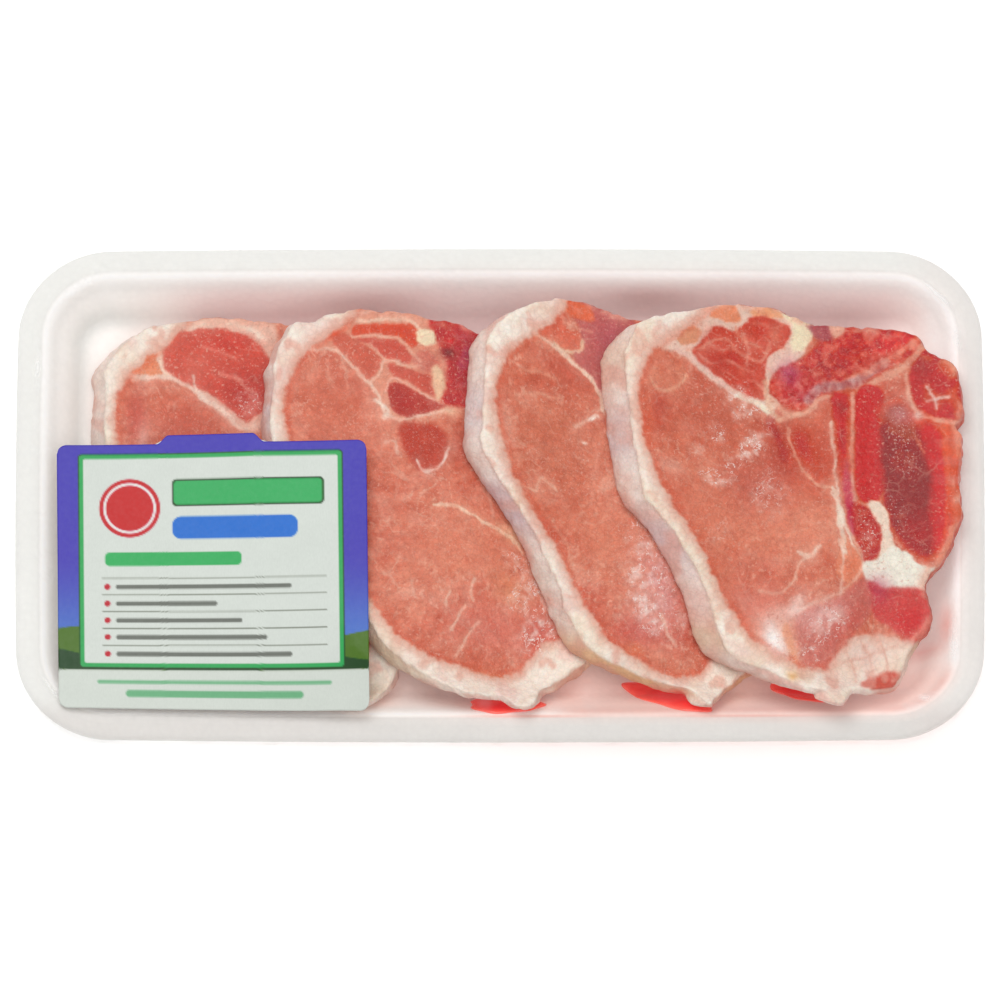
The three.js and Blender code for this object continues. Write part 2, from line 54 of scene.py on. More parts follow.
OUTER_WALL = [(2.2, 16), (0.7, 15.5), (0, 14.6), (0, 13.4), (1, 12.4), (5, 11.4),
              (6.5, 10), (13.1, 1.4), (15.2, 0)]
TRAY_CREST = (4.2, 16.25)
FLOOR_INSET = 21
BASE_INSET = 15

# Chops: place of each, slant and bulge of its fat side, front round the tip, back over the bone
CHOPS = [
    dict(name="chop_1", shift=-147.0, flare=3.7, turn=0.4, seam_shift=-1.0, bulge=(1.7, 1.7, 1.0, 0.0),
         front=[(65, -45.5), (73, -53), (93, -58.8), (102, -60.2), (107, -63), (110.5, -60), (115, -56),
                (119, -47), (120.5, -38)],
         back=[(130, 27), (125, 38), (116, 46.5), (104, 49), (91, 51), (81, 52.8), (70, 54.2), (58, 54),
               (48, 51), (41, 47), (36.2, 40), (35.4, 31)]),
    dict(name="chop_2", shift=-98.5, flare=2.5, turn=1.9, seam_shift=-1.6, bulge=(3.2, 3.8, 1.6, 0.0),
         front=[(66, -47), (78, -55.8), (88, -60.8), (98, -63), (106.5, -64.2), (111, -58), (117, -52.8),
                (123.5, -46.5), (122.5, -38)],
         back=[(130, 27), (125, 36), (116, 42), (105, 44), (93, 46.2), (86, 49), (79, 50.2), (69.5, 52.3),
               (57.5, 52.8), (50.4, 51.8), (45.5, 50), (40.2, 48.6), (36.8, 44.5), (35, 38), (34.4, 30)]),
    dict(name="chop_3", shift=-40.3, flare=4.8, turn=3.1, seam_shift=0.0, bulge=(1.5, 3.2, 0.8, 0.0),
         front=[(65, -47.5), (76.5, -53.5), (87, -56.6), (95, -59.8), (99.7, -63.6), (104, -57.2),
                (109, -52.2), (115.5, -48), (120.5, -38)],
         back=[(130, 27), (126, 38), (118, 46.5), (106, 48.5), (90, 49.5), (77.5, 50.8), (70.5, 52.6),
               (64, 54.7), (55, 54.4), (48, 52), (41, 47.6), (36.4, 41.5), (35.4, 31)]),
    dict(name="chop_4", shift=0.0, flare=6.8, turn=5.2, seam_shift=0.0, bulge=(0.0, 0.8, 3.4, 1.7),
         front=[(64.5, -49), (75, -54.2), (83, -58.4), (91, -61), (95.5, -63.6), (99.5, -59.4),
                (111, -56.8), (115.5, -48.5), (121.5, -38)],
         back=[(130, 27), (127, 36), (121, 42.3), (117, 46.3), (108.5, 48), (92, 48.3), (87.5, 49),
               (82.5, 52), (75.5, 54), (63.5, 53.2), (56, 51), (47, 48.8), (41, 45.8),
               (36.8, 40.8), (35.4, 32)]),
]
CORNER_KNOTS = 3
FOOD_SHIFT = -1.0
THICKNESS = 9.5
FOOD_GAP = 0.8
MIDDLE = np.array([84.0, 0.0])
WOBBLE = 0.6
EDGE_ROUNDING = 1.3
OUTLINE_STEPS = 640
TOP_RINGS = 104
EDGE_RINGS = 14
LOW_RINGS = 14
RIGHT_REACH = 131.5
FRONT_START = -20
FRONT_TAPER = 0.5
DRAPE_LENGTH = 48
END_RAMP_START = 34
WALL_PRESS = 0.35
TIP_START = -48
TIP_LENGTH = 14
TIP_THINNING = 0.28
TIP_LIFT = 1.7
SIDE_TOP = 0.86
SIDE_FOOT = 0.18
MEAT_SHINE = 0.035
CONTRAST = 0.2
CONTRAST_MIDDLE = (210, 112, 93)

# Small bumps and nicks in each outline: place, radius and push outwards
NICKS = [
    [(48, 51, 3, 0.9), (60, 54, 2.4, -0.6), (36, 38, 2.6, 0.7)],
    [(40, 48.5, 2, 0.8), (46, 50, 1.6, -0.8), (64, 52.6, 2.6, -0.6), (34.6, 36, 2, 0.7),
     (86, -60, 2.6, -0.7), (93, -61.6, 4, -1.2), (98.5, -63, 3.2, -1.8), (111, -58, 2.2, -0.6)],
    [(34.4, 12, 2, 0.8), (36, 2, 2.4, -0.6), (42, -8, 2, 0.7), (58, -36, 2.2, 0.7), (101, -62, 2, -0.8),
     (93, -59, 3, -1.2)],
    [(128, 36.5, 3.6, 1.5), (130.6, 18, 1.8, -1.5), (131, 10, 3, 0.8), (122, 42, 2.4, -0.9),
     (129.6, -8, 2.4, 0.8), (36.2, 36, 1.8, 0.7), (39.6, 44.6, 1.6, 0.8), (46, 48, 1.6, -0.6),
     (35.4, 20, 2.2, -0.5), (42, -6, 2, 0.7), (95.5, -63.5, 1.3, 1.0), (99.6, -60, 1.6, -0.7),
     (91, -60.6, 1.4, -0.6), (104, -58.6, 1.6, 0.6), (117, -53, 2, -0.7)],
]

# Patches down the fat side of each chop: height, reach and colour
SIDE_PATCHES = [
    [(20, 9, (232, 212, 204)), (-30, 12, (236, 206, 180))],
    [(22, 10, (226, 206, 206)), (-20, 9, (230, 208, 204)), (-46, 8, (240, 210, 176))],
    [(22, 7, (228, 208, 208)), (-5, 7, (214, 186, 192)), (-30, 9, (236, 218, 206)),
     (-50, 7, (240, 186, 128))],
    [(38, 7, (232, 196, 176)), (15, 7, (220, 198, 198)), (-16, 8, (214, 182, 184)),
     (-33, 5, (232, 190, 178)), (-42, 4, (220, 184, 156))],
]

# Shade at the tray's back wall and streaks of juice on its floor: middle, half axes, strength
BACK_SHADES = [((42, 60.5), (14, 3.4), 0.4), ((-38, 59), (16, 3), 0.3), ((104, 56), (12, 3.4), 0.2)]
JUICE_STREAKS = [((119, -44), (5, 2.4)), ((126, -38), (2.4, 5)), ((8, -66.4), (16, 0.7)),
                 ((70, -66.4), (22, 0.7))]

# Pools of juice: name, middle, half length, half width and turn
POOLS = [
    ("juice_2", 1.5, -61.2, 10.5, 4.0, 0.0), ("juice_3", 48.3, -58.2, 13.5, 4.4, -0.36),
    ("juice_4", 86, -55.2, 9.5, 4.2, -0.25),
]

# Film: grid, rings down the side as inset and height, and insets of the rings under the tray
FILM_INSET = 1.6
FILM_COLUMNS = 132
FILM_ROWS = 92
FILM_PASSES = 700
ANGLE_STRETCH = 1.8
FILM_SIDE = [(0.2, 17.0), (-0.4, 16.4), (-0.8, 15.4), (-0.85, 14.3), (-0.7, 13.2), (1.6, 10.9),
             (5.4, 7.4), (9.4, 3.7), (12.6, 1.0), (14.2, 0.25)]
FILM_UNDER_INSET = 15
FILM_UNDER = [17, 24, 34, 46, 58]
FILM_UNDER_HEIGHT = 0.05

# Painted highlights in lines where taut film bends over the tray's rim: middle, half axes and turn
GLARES = [
    (-125.6, -59.5, 4.5, 0.5, -0.9), (-118, 62.5, 5, 0.5, 0.75), (124.5, 58, 5, 0.6, -0.8),
    (129.5, 44, 1, 3.4, 0.1), (128, -44, 0.6, 9, 0.0), (118, -63, 5, 0.5, 0.6),
    (-130.5, 35, 0.6, 6, 0.0),
]

# Label: sizes in its own millimetres, with the tab as left end, right end and rise
LABEL_SIZE = (87.6, 77.5)
LABEL_CENTRE = (-81.0, -26.7)
LABEL_TURN = -0.022
LABEL_LEAN = 0.0135
LABEL_CORNER = 2.8
LABEL_TAB = (28.3, 58.8, 2.6)
LABEL_STEP = 0.38
LABEL_SHINE = 0.065
LABEL_LIFT = 0.85
LABEL_THICKNESS = 0.3

# Camera: scale in pixels a millimetre, and pixels by which the tray's centre shows above the middle
ELEVATION = math.radians(71.5)
PIXELS_PER_MM = 3.538
CENTRE_RISE = 7.35
CAMERA_DISTANCE = 6.0
LENS = 764.2


# Numbers

def smooth(share):
    share = np.clip(share, 0, 1)
    return share * share * (3 - 2 * share)


def lattice(ix, iy, seed):
    value = (ix * 374761393 + iy * 668265263 + seed * 1274126177) & 0x7FFFFFFF
    value = ((value ^ (value >> 13)) * 1274126177) & 0x7FFFFFFF
    return ((value ^ (value >> 16)) & 0xFFFF) / 65535.0


def noise(x, y, cell, seed):
    """Smooth random values from 0 to 1, turned a little for each seed so that no grid shows."""
    turn = 0.6 + seed * 1.7
    px = (x * math.cos(turn) - y * math.sin(turn)) / cell + 31.7
    py = (x * math.sin(turn) + y * math.cos(turn)) / cell + 17.3
    ix, iy = np.floor(px).astype(np.int64), np.floor(py).astype(np.int64)
    fx, fy = smooth(px - ix), smooth(py - iy)
    low = lattice(ix, iy, seed) * (1 - fx) + lattice(ix + 1, iy, seed) * fx
    high = lattice(ix, iy + 1, seed) * (1 - fx) + lattice(ix + 1, iy + 1, seed) * fx
    return low * (1 - fy) + high * fy


def clouds(x, y, cell, seed, octaves=3):
    total, weight = 0.0, 0.0
    for octave in range(octaves):
        share = 0.55 ** octave
        total = total + share * noise(x, y, cell / 2 ** octave, seed + 11 * octave)
        weight += share
    return total / weight


def ridges(x, y, cell, seed, width):
    """Thin curving lines, 1 on the line and 0 beside it."""
    value = clouds(x, y, cell, seed, 2)
    return 1 - smooth(np.abs(value - 0.5) / width)


def curve(points, steps, closed):
    """Centripetal Catmull-Rom curve through the points."""
    points = np.array(points, float)
    if closed:
        knots = np.vstack([points[-1], points, points[0], points[1]])
    else:
        knots = np.vstack([2 * points[0] - points[1], points, 2 * points[-1] - points[-2]])
    made = []
    share = np.arange(steps)[:, None] / steps
    for a, b, c, d in zip(knots, knots[1:], knots[2:], knots[3:]):
        t1, t2, t3 = (math.sqrt(max(math.dist(p, q), 1e-6)) for p, q in ((a, b), (b, c), (c, d)))
        slope_b = t2 * ((b - a) / t1 - (c - a) / (t1 + t2)) + (c - b)
        slope_c = t2 * ((d - c) / t3 - (d - b) / (t2 + t3)) + (c - b)
        made.append(b + slope_b * share + (3 * (c - b) - 2 * slope_b - slope_c) * share ** 2
                    + (2 * (b - c) + slope_b + slope_c) * share ** 3)
    path = np.vstack(made)
    return path if closed else np.vstack([path, points[-1]])


def spaced(path, count):
    """A closed path cut into equal steps."""
    loop = np.vstack([path, path[0]])
    along = np.concatenate([[0], np.cumsum(np.hypot(*np.diff(loop, axis=0).T))])
    at = np.arange(count) / count * along[-1]
    return np.stack([np.interp(at, along, loop[:, 0]), np.interp(at, along, loop[:, 1])], 1)


def oval(u, v, centre, radii, turn=0.0):
    """Place beside a turned oval's middle, in half axes along and across it."""
    du, dv = u - centre[0], v - centre[1]
    along = (du * math.cos(turn) + dv * math.sin(turn)) / radii[0]
    return along, (dv * math.cos(turn) - du * math.sin(turn)) / radii[1]


def blend(tone, share, colour):
    return tone + share[:, None] * (np.array(colour, float) - tone)


def line_distance(u, v, path):
    best = np.full(u.shape, 1e9)
    for (ax, ay), (bx, by) in zip(path, path[1:]):
        dx, dy = bx - ax, by - ay
        share = np.clip(((u - ax) * dx + (v - ay) * dy) / max(dx * dx + dy * dy, 1e-9), 0, 1)
        best = np.minimum(best, (u - ax - share * dx) ** 2 + (v - ay - share * dy) ** 2)
    return np.sqrt(best)


def contains(u, v, path):
    inside = np.zeros(u.shape, bool)
    for (ax, ay), (bx, by) in zip(path, np.roll(path, -1, 0)):
        if ay != by:
            inside ^= ((ay > v) != (by > v)) & (u < (bx - ax) * (v - ay) / (by - ay) + ax)
    return inside


def depth_inside(u, v, path):
    """Distance to the edge of a closed path, negative outside it."""
    away = line_distance(u, v, np.vstack([path, path[0]]))
    return np.where(contains(u, v, path), away, -away)


# The pack's form

def bowed(x, y):
    return (x * (1 - SIDE_BOW / HALF_LENGTH * (y / HALF_WIDTH) ** 2),
            y * (1 - SIDE_BOW / HALF_WIDTH * (x / HALF_LENGTH) ** 2))


def inset_at(x, y):
    square_x = x * (1 + SIDE_BOW / HALF_LENGTH * (y / HALF_WIDTH) ** 2)
    square_y = y * (1 + SIDE_BOW / HALF_WIDTH * (x / HALF_LENGTH) ** 2)
    beyond_x = np.abs(square_x) - (HALF_LENGTH - CORNER_RADIUS)
    beyond_y = np.abs(square_y) - (HALF_WIDTH - CORNER_RADIUS)
    outside = np.hypot(np.maximum(beyond_x, 0), np.maximum(beyond_y, 0))
    return CORNER_RADIUS - outside - np.minimum(np.maximum(beyond_x, beyond_y), 0)


def wall_height(inset):
    return TRAY_BASE + np.interp(inset, *zip(*INNER_WALL))


def rest_height(x, y):
    """Height that food rests on: the floor, ramping up over the wall at the right end."""
    wall = wall_height(inset_at(x, y))
    rise = smooth((END_RAMP_START - (HALF_LENGTH - x)) / (END_RAMP_START - INNER_WALL[0][0]))
    ramp = TRAY_BASE + FLOOR + (RIM_TOP - FLOOR) * rise
    return (wall + ramp + np.hypot(wall - ramp, rise)) / 2


def chop_low(index, x, y):
    """Height of a chop's low face, which drapes over the chops under it."""
    z = rest_height(x, y) + FOOD_GAP
    if index:
        z = z + TIP_LIFT * smooth((TIP_START - y) / TIP_LENGTH)
    for lower in CHOPS[:index]:
        edge = lower["shift"] + RIGHT_REACH - FRONT_TAPER * np.maximum(0, FRONT_START - y)
        z = z + (THICKNESS + FOOD_GAP) * (1 - smooth((x - edge) / DRAPE_LENGTH))
    return z


def chop_thickness(x, y):
    pressed = WALL_PRESS * smooth((rest_height(x, y) - TRAY_BASE - FLOOR) / (RIM_TOP - FLOOR))
    return THICKNESS * (1 - pressed) * (1 - TIP_THINNING * smooth((TIP_START - y) / TIP_LENGTH))


def chop_outline(chop, count=OUTLINE_STEPS):
    fat_side = [(36.6, 19), (39.2, 7), (44, -5), (51, -17.5)]
    bulged = [(x - out, y) for (x, y), out in zip(fat_side, chop["bulge"])]
    knots = [
        *chop["back"][-CORNER_KNOTS:], *bulged, (57.5, -31), *chop["front"], (119.5, -28), (126, -20),
        (129.6, -9), (129.3, 8), *chop["back"][:-CORNER_KNOTS],
    ]
    path = spaced(curve(knots, 40, True), count)
    angle = np.arange(count) / count * math.tau
    wave = WOBBLE * np.sin(5 * angle + chop["turn"]) * np.cos(2 * angle + chop["turn"] * 2)
    out = path - MIDDLE
    return path + wave[:, None] * out / np.linalg.norm(out, axis=1)[:, None]


def outward(path, reach=3):
    """Outward direction at each point of a closed path."""
    along = np.roll(path, -reach, 0) - np.roll(path, reach, 0)
    along /= np.linalg.norm(along, axis=1)[:, None]
    return np.stack([along[:, 1], -along[:, 0]], 1)


def fat_edge(chop):
    """Closed path round the fat, with its seam to the lean on the inner side."""
    tip, shift = chop["front"][4][0], chop["seam_shift"]
    tip_seam = [
        (63, 70), (10, 70), (10, -75), (140, -75), (140, -44), (tip + 19, -43.5),
        (tip + 10, -42.2), (tip + 4, -43), (tip + 1, -47), (tip - 3, -52.5), (tip - 10, -54),
        (79, -50.4), (70.5, -45)]
    side_seam = [
        (64.5, -36), (60.5, -27.5), (55.6, -17.5), (49.4, -8.5), (44, 1.5), (40.8, 12), (39.2, 22),
        (39.8, 30), (42.5, 36.5), (48.5, 42.5), (55, 47.5), (59, 52)]
    return np.array(tip_seam + [(x + shift, y) for x, y in side_seam], float)


def meat_distance(x, y):
    """How far outside the nearest chop a place is, negative over meat."""
    nearest = np.full(len(x), 1e9)
    for chop in CHOPS:
        outline = chop_outline(chop, 90) + np.array([chop["shift"], FOOD_SHIFT])
        nearest = np.minimum(nearest, -depth_inside(x, y, outline))
    return nearest


# Colours of the cut faces, as they look in daylight
LEAN = (214, 117, 94)
LEAN_PALE = (225, 138, 113)
LEAN_RED = (203, 92, 75)
SEAM = (236, 186, 166)
CREAM = (251, 237, 223)
CREAM_PINK = (240, 203, 192)
CREAM_YELLOW = (244, 222, 196)
FLESH = (226, 150, 130)
SOAKED = (226, 164, 144)
MARROW = (198, 62, 56)
# GLINT is not the meat's own colour: it is the painted highlight where wet meat touches the film
GLINT = (250, 226, 216)


class Face:
    """Colour, relief and wetness of a chop, painted in its own millimetres."""

    def __init__(self, u, v, seed):
        broad = [1.3 * (clouds(u, v, 3.6, seed + layer) - 0.5) for layer in (1, 2)]
        fine = [0.7 * (clouds(u, v, 1.5, seed + layer, 2) - 0.5) for layer in (23, 24)]
        self.u, self.v = u + broad[0] + fine[0], v + broad[1] + fine[1]
        self.seed = seed
        self.slide = 0.0
        self.tone = np.tile(np.array(LEAN, float), (len(u), 1))
        self.lift = np.zeros(len(u))
        self.wet = np.full(len(u), 0.35)
        # Painted highlights: glint streaks and specks where the wet meat touches the film
        self.strokes = np.zeros(len(u))
        self.specks = 0.015 + 0.07 * smooth(clouds(u, v, 11, seed + 21, 2) * 4 - 1.8)

    def lay(self, where, share, colour, lift=0.0, wet=None):
        share = np.clip(share, 0, 1)
        self.tone[where] += share[:, None] * (np.array(colour, float) - self.tone[where])
        self.lift[where] += share * lift
        if wet is not None:
            self.wet[where] += share * (wet - self.wet[where])

    def slid(self, points):
        """Points moved along with the bone, which lies further out in one chop."""
        return np.array(points, float) + np.array([self.slide, 0.0])

    def near(self, points, margin):
        low, high = np.min(points, 0) - margin, np.max(points, 0) + margin
        found = (self.u > low[0]) & (self.u < high[0]) & (self.v > low[1]) & (self.v < high[1])
        return np.nonzero(found)[0]

    def area(self, points, colour, strength=1.0, soft=0.5, lift=0.0, wet=None, mottle=0.0):
        path = curve(self.slid(points), 5, True)
        at = self.near(path, soft + 1)
        u, v = self.u[at], self.v[at]
        share = smooth(0.5 + depth_inside(u, v, path) / (2 * soft)) * strength
        if mottle:
            share = share * (1 - mottle * smooth(clouds(u, v, 2.2, self.seed + 5) * 3 - 1))
        self.lay(at, share, colour, lift, wet)

    def line(self, points, colour=SEAM, width=0.8, strength=0.9, soft=0.5, lift=-0.12):
        path = curve(self.slid(points), 5, False)
        at = self.near(path, width + soft + 1)
        u, v = self.u[at], self.v[at]
        broad = width * (0.1 + 0.85 * noise(u, v, 2.6, self.seed + 6))
        share = 1 - smooth((line_distance(u, v, path) - 0.8 * broad / 2) / (soft + 0.1))
        broken = 0.3 + 0.85 * clouds(u, v, 3.0, self.seed + 17, 2)
        self.lay(at, share * strength * np.minimum(broken, 1), colour, lift)
        halo = 0.16 * strength * np.exp(-(line_distance(u, v, path) / (1.2 + width)) ** 2)
        self.lay(at, halo, colour)

    def spot(self, centre, radii, colour, strength=0.8, turn=0.0, wet=None, mottle=0.0):
        centre = self.slid(centre)
        at = self.near([centre], 2.2 * max(radii))
        along, across = oval(self.u[at], self.v[at], centre, radii, turn)
        share = np.exp(-1.1 * (along ** 2 + across ** 2)) * strength
        if mottle:
            share = share * (1 - mottle * smooth(clouds(*self.at(at), 1.8, self.seed + 7) * 3 - 1))
        self.lay(at, share, colour, 0.0, wet)

    def at(self, where):
        return self.u[where], self.v[where]

    def glints(self, centre, radii, turn=0.0, amount=0.5, strokes=True):
        """Painted glints where the wet surface touches the film: short streaks or specks, over a pale
        painted sheen.
        """
        centre = self.slid(centre)
        at = self.near([centre], 1.6 * max(radii))
        u, v = self.at(at)
        along, across = oval(u, v, centre, radii, turn)
        zone = smooth(1.75 - np.hypot(along, across) - 0.9 * noise(u, v, 5.0, self.seed + 9)) * amount
        glint_marks = self.strokes if strokes else self.specks
        glint_marks[at] = np.maximum(glint_marks[at], zone)
        sheen_breakup = smooth((clouds(u, v, 1.7, self.seed + 19, 2) - 0.42) * 4)
        self.lay(at, zone * (0.08 + 0.36 * sheen_breakup), GLINT, 0.0, 0.9)


def paint_shared(face, seed):
    """Muscle with marbling and threads, as all the chops have it."""
    u, v = face.u, face.v
    everywhere = np.arange(len(u))
    face.lay(everywhere, smooth(clouds(u, v, 20, seed, 2) * 3 - 1.1) * 0.6, LEAN_PALE)
    face.lay(everywhere, smooth(clouds(u, v, 13, seed + 3, 2) * 3 - 1.6) * 0.5, LEAN_RED)
    face.lay(everywhere, smooth(clouds(u, v, 7, seed + 25, 2) * 4 - 2.1) * 0.35, (232, 158, 138))
    face.tone += (clouds(u, v, 3.4, seed + 4)[:, None] - 0.5) * np.array([22, 34, 32])
    face.tone += (clouds(u, v, 1.5, seed + 22, 2)[:, None] - 0.5) * np.array([14, 26, 24])
    marbling = ridges(u, v, 9, seed + 8, 0.025) * smooth((noise(u, v, 9, seed + 9) - 0.45) * 5)
    face.lay(everywhere, marbling * 0.4, SEAM, -0.05)
    threads = ridges(u, v, 4.2, seed + 26, 0.03) * smooth((noise(u, v, 5, seed + 27) - 0.55) * 6)
    face.lay(everywhere, threads * 0.4, (240, 190, 168), -0.04)
    specks = smooth((noise(u, v, 1.1, seed + 10) - 0.76) * 7)
    specks = specks * smooth(clouds(u, v, 12, seed + 28, 2) * 4 - 1.4)
    face.lay(everywhere, specks * 0.55, (240, 178, 156))


def paint_fat(face, fat, seed):
    """Cream fat, soaked pink where it meets the lean."""
    u, v = face.u, face.v
    everywhere = np.arange(len(u))
    ragged = fat + 0.9 * (clouds(u, v, 4.5, seed + 12) - 0.5) + 0.8 * (noise(u, v, 0.9, seed + 13) - 0.5)
    cover = smooth(0.5 + ragged / 1.1)
    cream = blend(np.array(CREAM, float), smooth(clouds(u, v, 6, seed + 14, 2) * 4 - 2.0) * 0.6, CREAM_PINK)
    cream = blend(cream, smooth(clouds(u, v, 9, seed + 15, 2) * 3 - 1.4) * 0.5, CREAM_YELLOW)
    cream = cream + (clouds(u, v, 1.8, seed + 16)[:, None] - 0.5) * np.array([16, 32, 36])
    cream = blend(cream, smooth(clouds(u, v, 3.6, seed + 29, 2) * 5 - 3.1) * 0.4, FLESH)
    soaked = 1.2 + 2.2 * clouds(u, v, 8, seed + 18)
    cream = blend(cream, np.exp(-(np.maximum(ragged, 0) / soaked) ** 2) * 0.75, SOAKED)
    face.tone = blend(face.tone, cover, cream)
    face.wet += cover * (0.3 - face.wet)
    face.lift += cover * 0.12
    face.lay(everywhere, np.exp(-((ragged + 0.9) / 0.9) ** 2) * 0.35, (214, 96, 72))


def paint_bone(face):
    """Sawn backbone: red marrow between pale rims."""
    face.area([(90, 57), (91.5, 47), (89.5, 42.5), (85, 38), (79, 35), (76, 30), (79, 25), (85, 22.5),
               (91, 27), (95, 27.5), (101, 30), (106, 33), (112, 36.5), (117, 40), (121, 45), (127, 52),
               (112, 58)], (212, 86, 70), 1.0, 0.6, -0.25, 0.7)
    face.area([(91, 42), (96, 49), (108, 50), (115, 47), (108, 41), (100, 35), (92, 30.5), (86, 26.5),
               (80, 28), (84, 35)], MARROW, 0.85, 2.0, -0.2, 0.8, 0.75)
    face.spot((98, 45), (6, 2.4), (206, 66, 52), 0.8, 0.1, mottle=0.4)
    face.spot((92, 36), (5, 3), (190, 72, 62), 0.7, 0.5, mottle=0.5)
    face.spot((114.6, 44.6), (3.4, 2), (222, 56, 44), 0.9, 0.5)
    face.spot((109.6, 43.2), (4.5, 2.4), (214, 44, 40), 0.9, 0.3)
    face.spot((84.6, 27.4), (4.5, 2.3), (186, 48, 58), 0.85, 0.2, mottle=0.5)
    face.line([(87, 26), (92, 29.5), (98, 30), (104, 34), (109, 37.5)], (186, 130, 130), 3.0, 0.8, 1.4,
              -0.05)
    face.line([(77, 25.5), (82, 21.2), (86.4, 21.6), (91, 26.4), (96, 26.6), (101.5, 29), (106, 31.6),
               (112.8, 35.2), (117, 38.9), (121, 45)], (232, 166, 142), 1.6, 0.85, 0.9, 0.12)
    face.line([(100, 33.5), (106, 36), (112, 39.5), (117, 44), (120, 49)], (230, 134, 110), 2.0, 0.65,
              1.2, 0.05)
    at = face.near(face.slid([(76, 22), (124, 56)]), 0)
    u, v = face.at(at)
    pits = smooth((noise(u, v, 1.3, 71) - 0.5) * 4) - smooth((noise(u, v, 1.5, 73) - 0.55) * 4)
    bony = smooth(face.lift[at] / -0.3)
    face.tone[at] += (pits * bony)[:, None] * np.array([14, 26, 24])
    face.lift[at] -= 0.12 * bony * noise(u, v, 1.4, 75)


def paint_process(face):
    """The bone that runs down between the eye and the tenderloin."""
    face.area([(94.4, 28), (94.8, 14), (96.5, -1), (98.5, -12), (102.5, -23), (104.5, -20), (103, -10),
               (101.5, 0), (101, 14), (101.2, 29)], (212, 96, 70), 0.9, 0.5, -0.1, 0.6)
    face.line([(94.6, 26), (96, 18), (96.6, 10)], (206, 60, 44), 3.0, 0.9, 1.0, -0.1)
    face.line([(97.4, 8), (98.2, -3), (100, -12)], (206, 84, 98), 1.8, 0.8, 0.9, 0)
    face.area([(94.2, 28), (98, 28.4), (98.4, 20), (97.8, 10), (96.4, 3), (95, 8), (94.6, 16)],
              (206, 62, 44), 0.95, 0.8, -0.1, 0.7, 0.35)
    face.spot((96.6, 24), (1.6, 2.4), (170, 26, 28), 0.8, mottle=0.3)
    face.spot((96.8, 15), (1.0, 3), (172, 30, 36), 0.7, mottle=0.3)
    face.area([(97, 5), (99.4, 4), (99.6, -6), (101, -14), (99.4, -14), (97.6, -5)], (206, 78, 92), 0.85,
              0.6, 0.0, 0.6, 0.3)
    face.spot((98.6, -7), (0.9, 3.4), (190, 32, 60), 0.8, 0.2)
    face.line([(99.6, 28), (99.6, 17), (99.4, 6), (99.8, -3), (101.8, -14), (103, -21)], (234, 166, 146),
              1.1, 0.85, 0.5, 0.12)
    face.line([(93.4, 19), (94.4, 11), (95, 2.5), (96.6, -9), (100, -18), (102, -24)], (242, 206, 186),
              0.8, 0.9, 0.5, 0.12)


def paint_tenderloin(face):
    """Tenderloin, dark in its middle, and the small muscle behind it."""
    face.area([(101.4, 30), (107, 30.5), (109, 20), (107.4, -3), (104, -4.5), (101.2, -3), (100.6, 12)],
              (208, 62, 48), 0.95, 0.5, 0.0, 0.6)
    face.area([(108, 24), (113, 27), (117, 23), (122, 21.5), (127, 21), (131, 15), (132, -8), (128, -21),
               (121, -22), (114, -17.5), (110, -11), (108, 0)], (222, 96, 70), 1.0, 0.7, 0.1, 0.5)
    face.area([(108.2, 22), (113, 25), (118, 19), (122, 13), (123.5, 0), (123, -14), (121, -20.5),
               (115, -17), (110.4, -10.5), (108.6, 0)], (160, 46, 28), 0.95, 1.6, -0.1, 0.5)
    face.spot((118, -14), (5, 6), (196, 78, 66), 0.7)
    face.spot((113, 3), (3.6, 10), (164, 48, 28), 0.75, mottle=0.3)
    face.area([(119, 19), (122, 20), (125, 12), (126, 0), (126.6, -14), (123, -19), (121.4, -10),
               (121.6, 4)], (212, 60, 46), 0.85, 1.4, 0.0, 0.6)
    face.spot((122, 9), (1.8, 4), (208, 30, 34), 0.85, 0.1)
    face.spot((117, 20.6), (4, 2), (214, 60, 48), 0.7)
    face.line([(125.6, 18), (126.2, 4), (125.6, -14)], (232, 112, 82), 0.8, 0.5, 0.8, 0.05)
    face.spot((112.5, 22), (5.5, 4.5), (200, 122, 118), 0.8, -0.5)
    face.glints((113.4, 14), (4.4, 10), 0.1, 0.36, False)
    face.glints((112, -10), (6, 7), 0.1, 0.3, False)
    face.area([(115.4, 33.6), (119, 40), (123, 42), (127, 36.5), (131, 32), (131.5, 24), (130, 19.6),
               (122, 21.4), (117.6, 25)], (198, 58, 36), 1.0, 0.5, 0.05, 0.6)
    face.spot((126, 36), (4, 3), (222, 104, 70), 0.7, -0.4, mottle=0.4)
    face.spot((128.4, 27), (2.4, 5), (216, 92, 68), 0.7, mottle=0.3)
    face.spot((121, 24.4), (2.2, 1.6), (206, 48, 48), 0.8)
    face.spot((124.6, 22.4), (2, 1.2), (206, 48, 48), 0.8)
    face.spot((119.6, 36), (3, 3), (176, 72, 66), 0.7)
    face.line([(115, 33.6), (115.9, 26.4), (119.2, 21.8), (124.7, 19.9), (129.7, 19.2)], (234, 170, 148),
              1.1, 0.85)
    face.line([(120.5, 30), (122.6, 26.4), (123.1, 23.9)], (244, 214, 204), 0.9, 0.9)
    face.line([(120.8, 26), (123, 26.4), (126.6, 27)], (244, 214, 204), 0.8, 0.8)
    face.spot((118.4, 21.4), (1.5, 1.5), (240, 190, 176), 0.9)
    face.line([(116.6, 19.4), (118, 14.6), (119.6, 11)], (226, 140, 124), 0.9, 0.8)


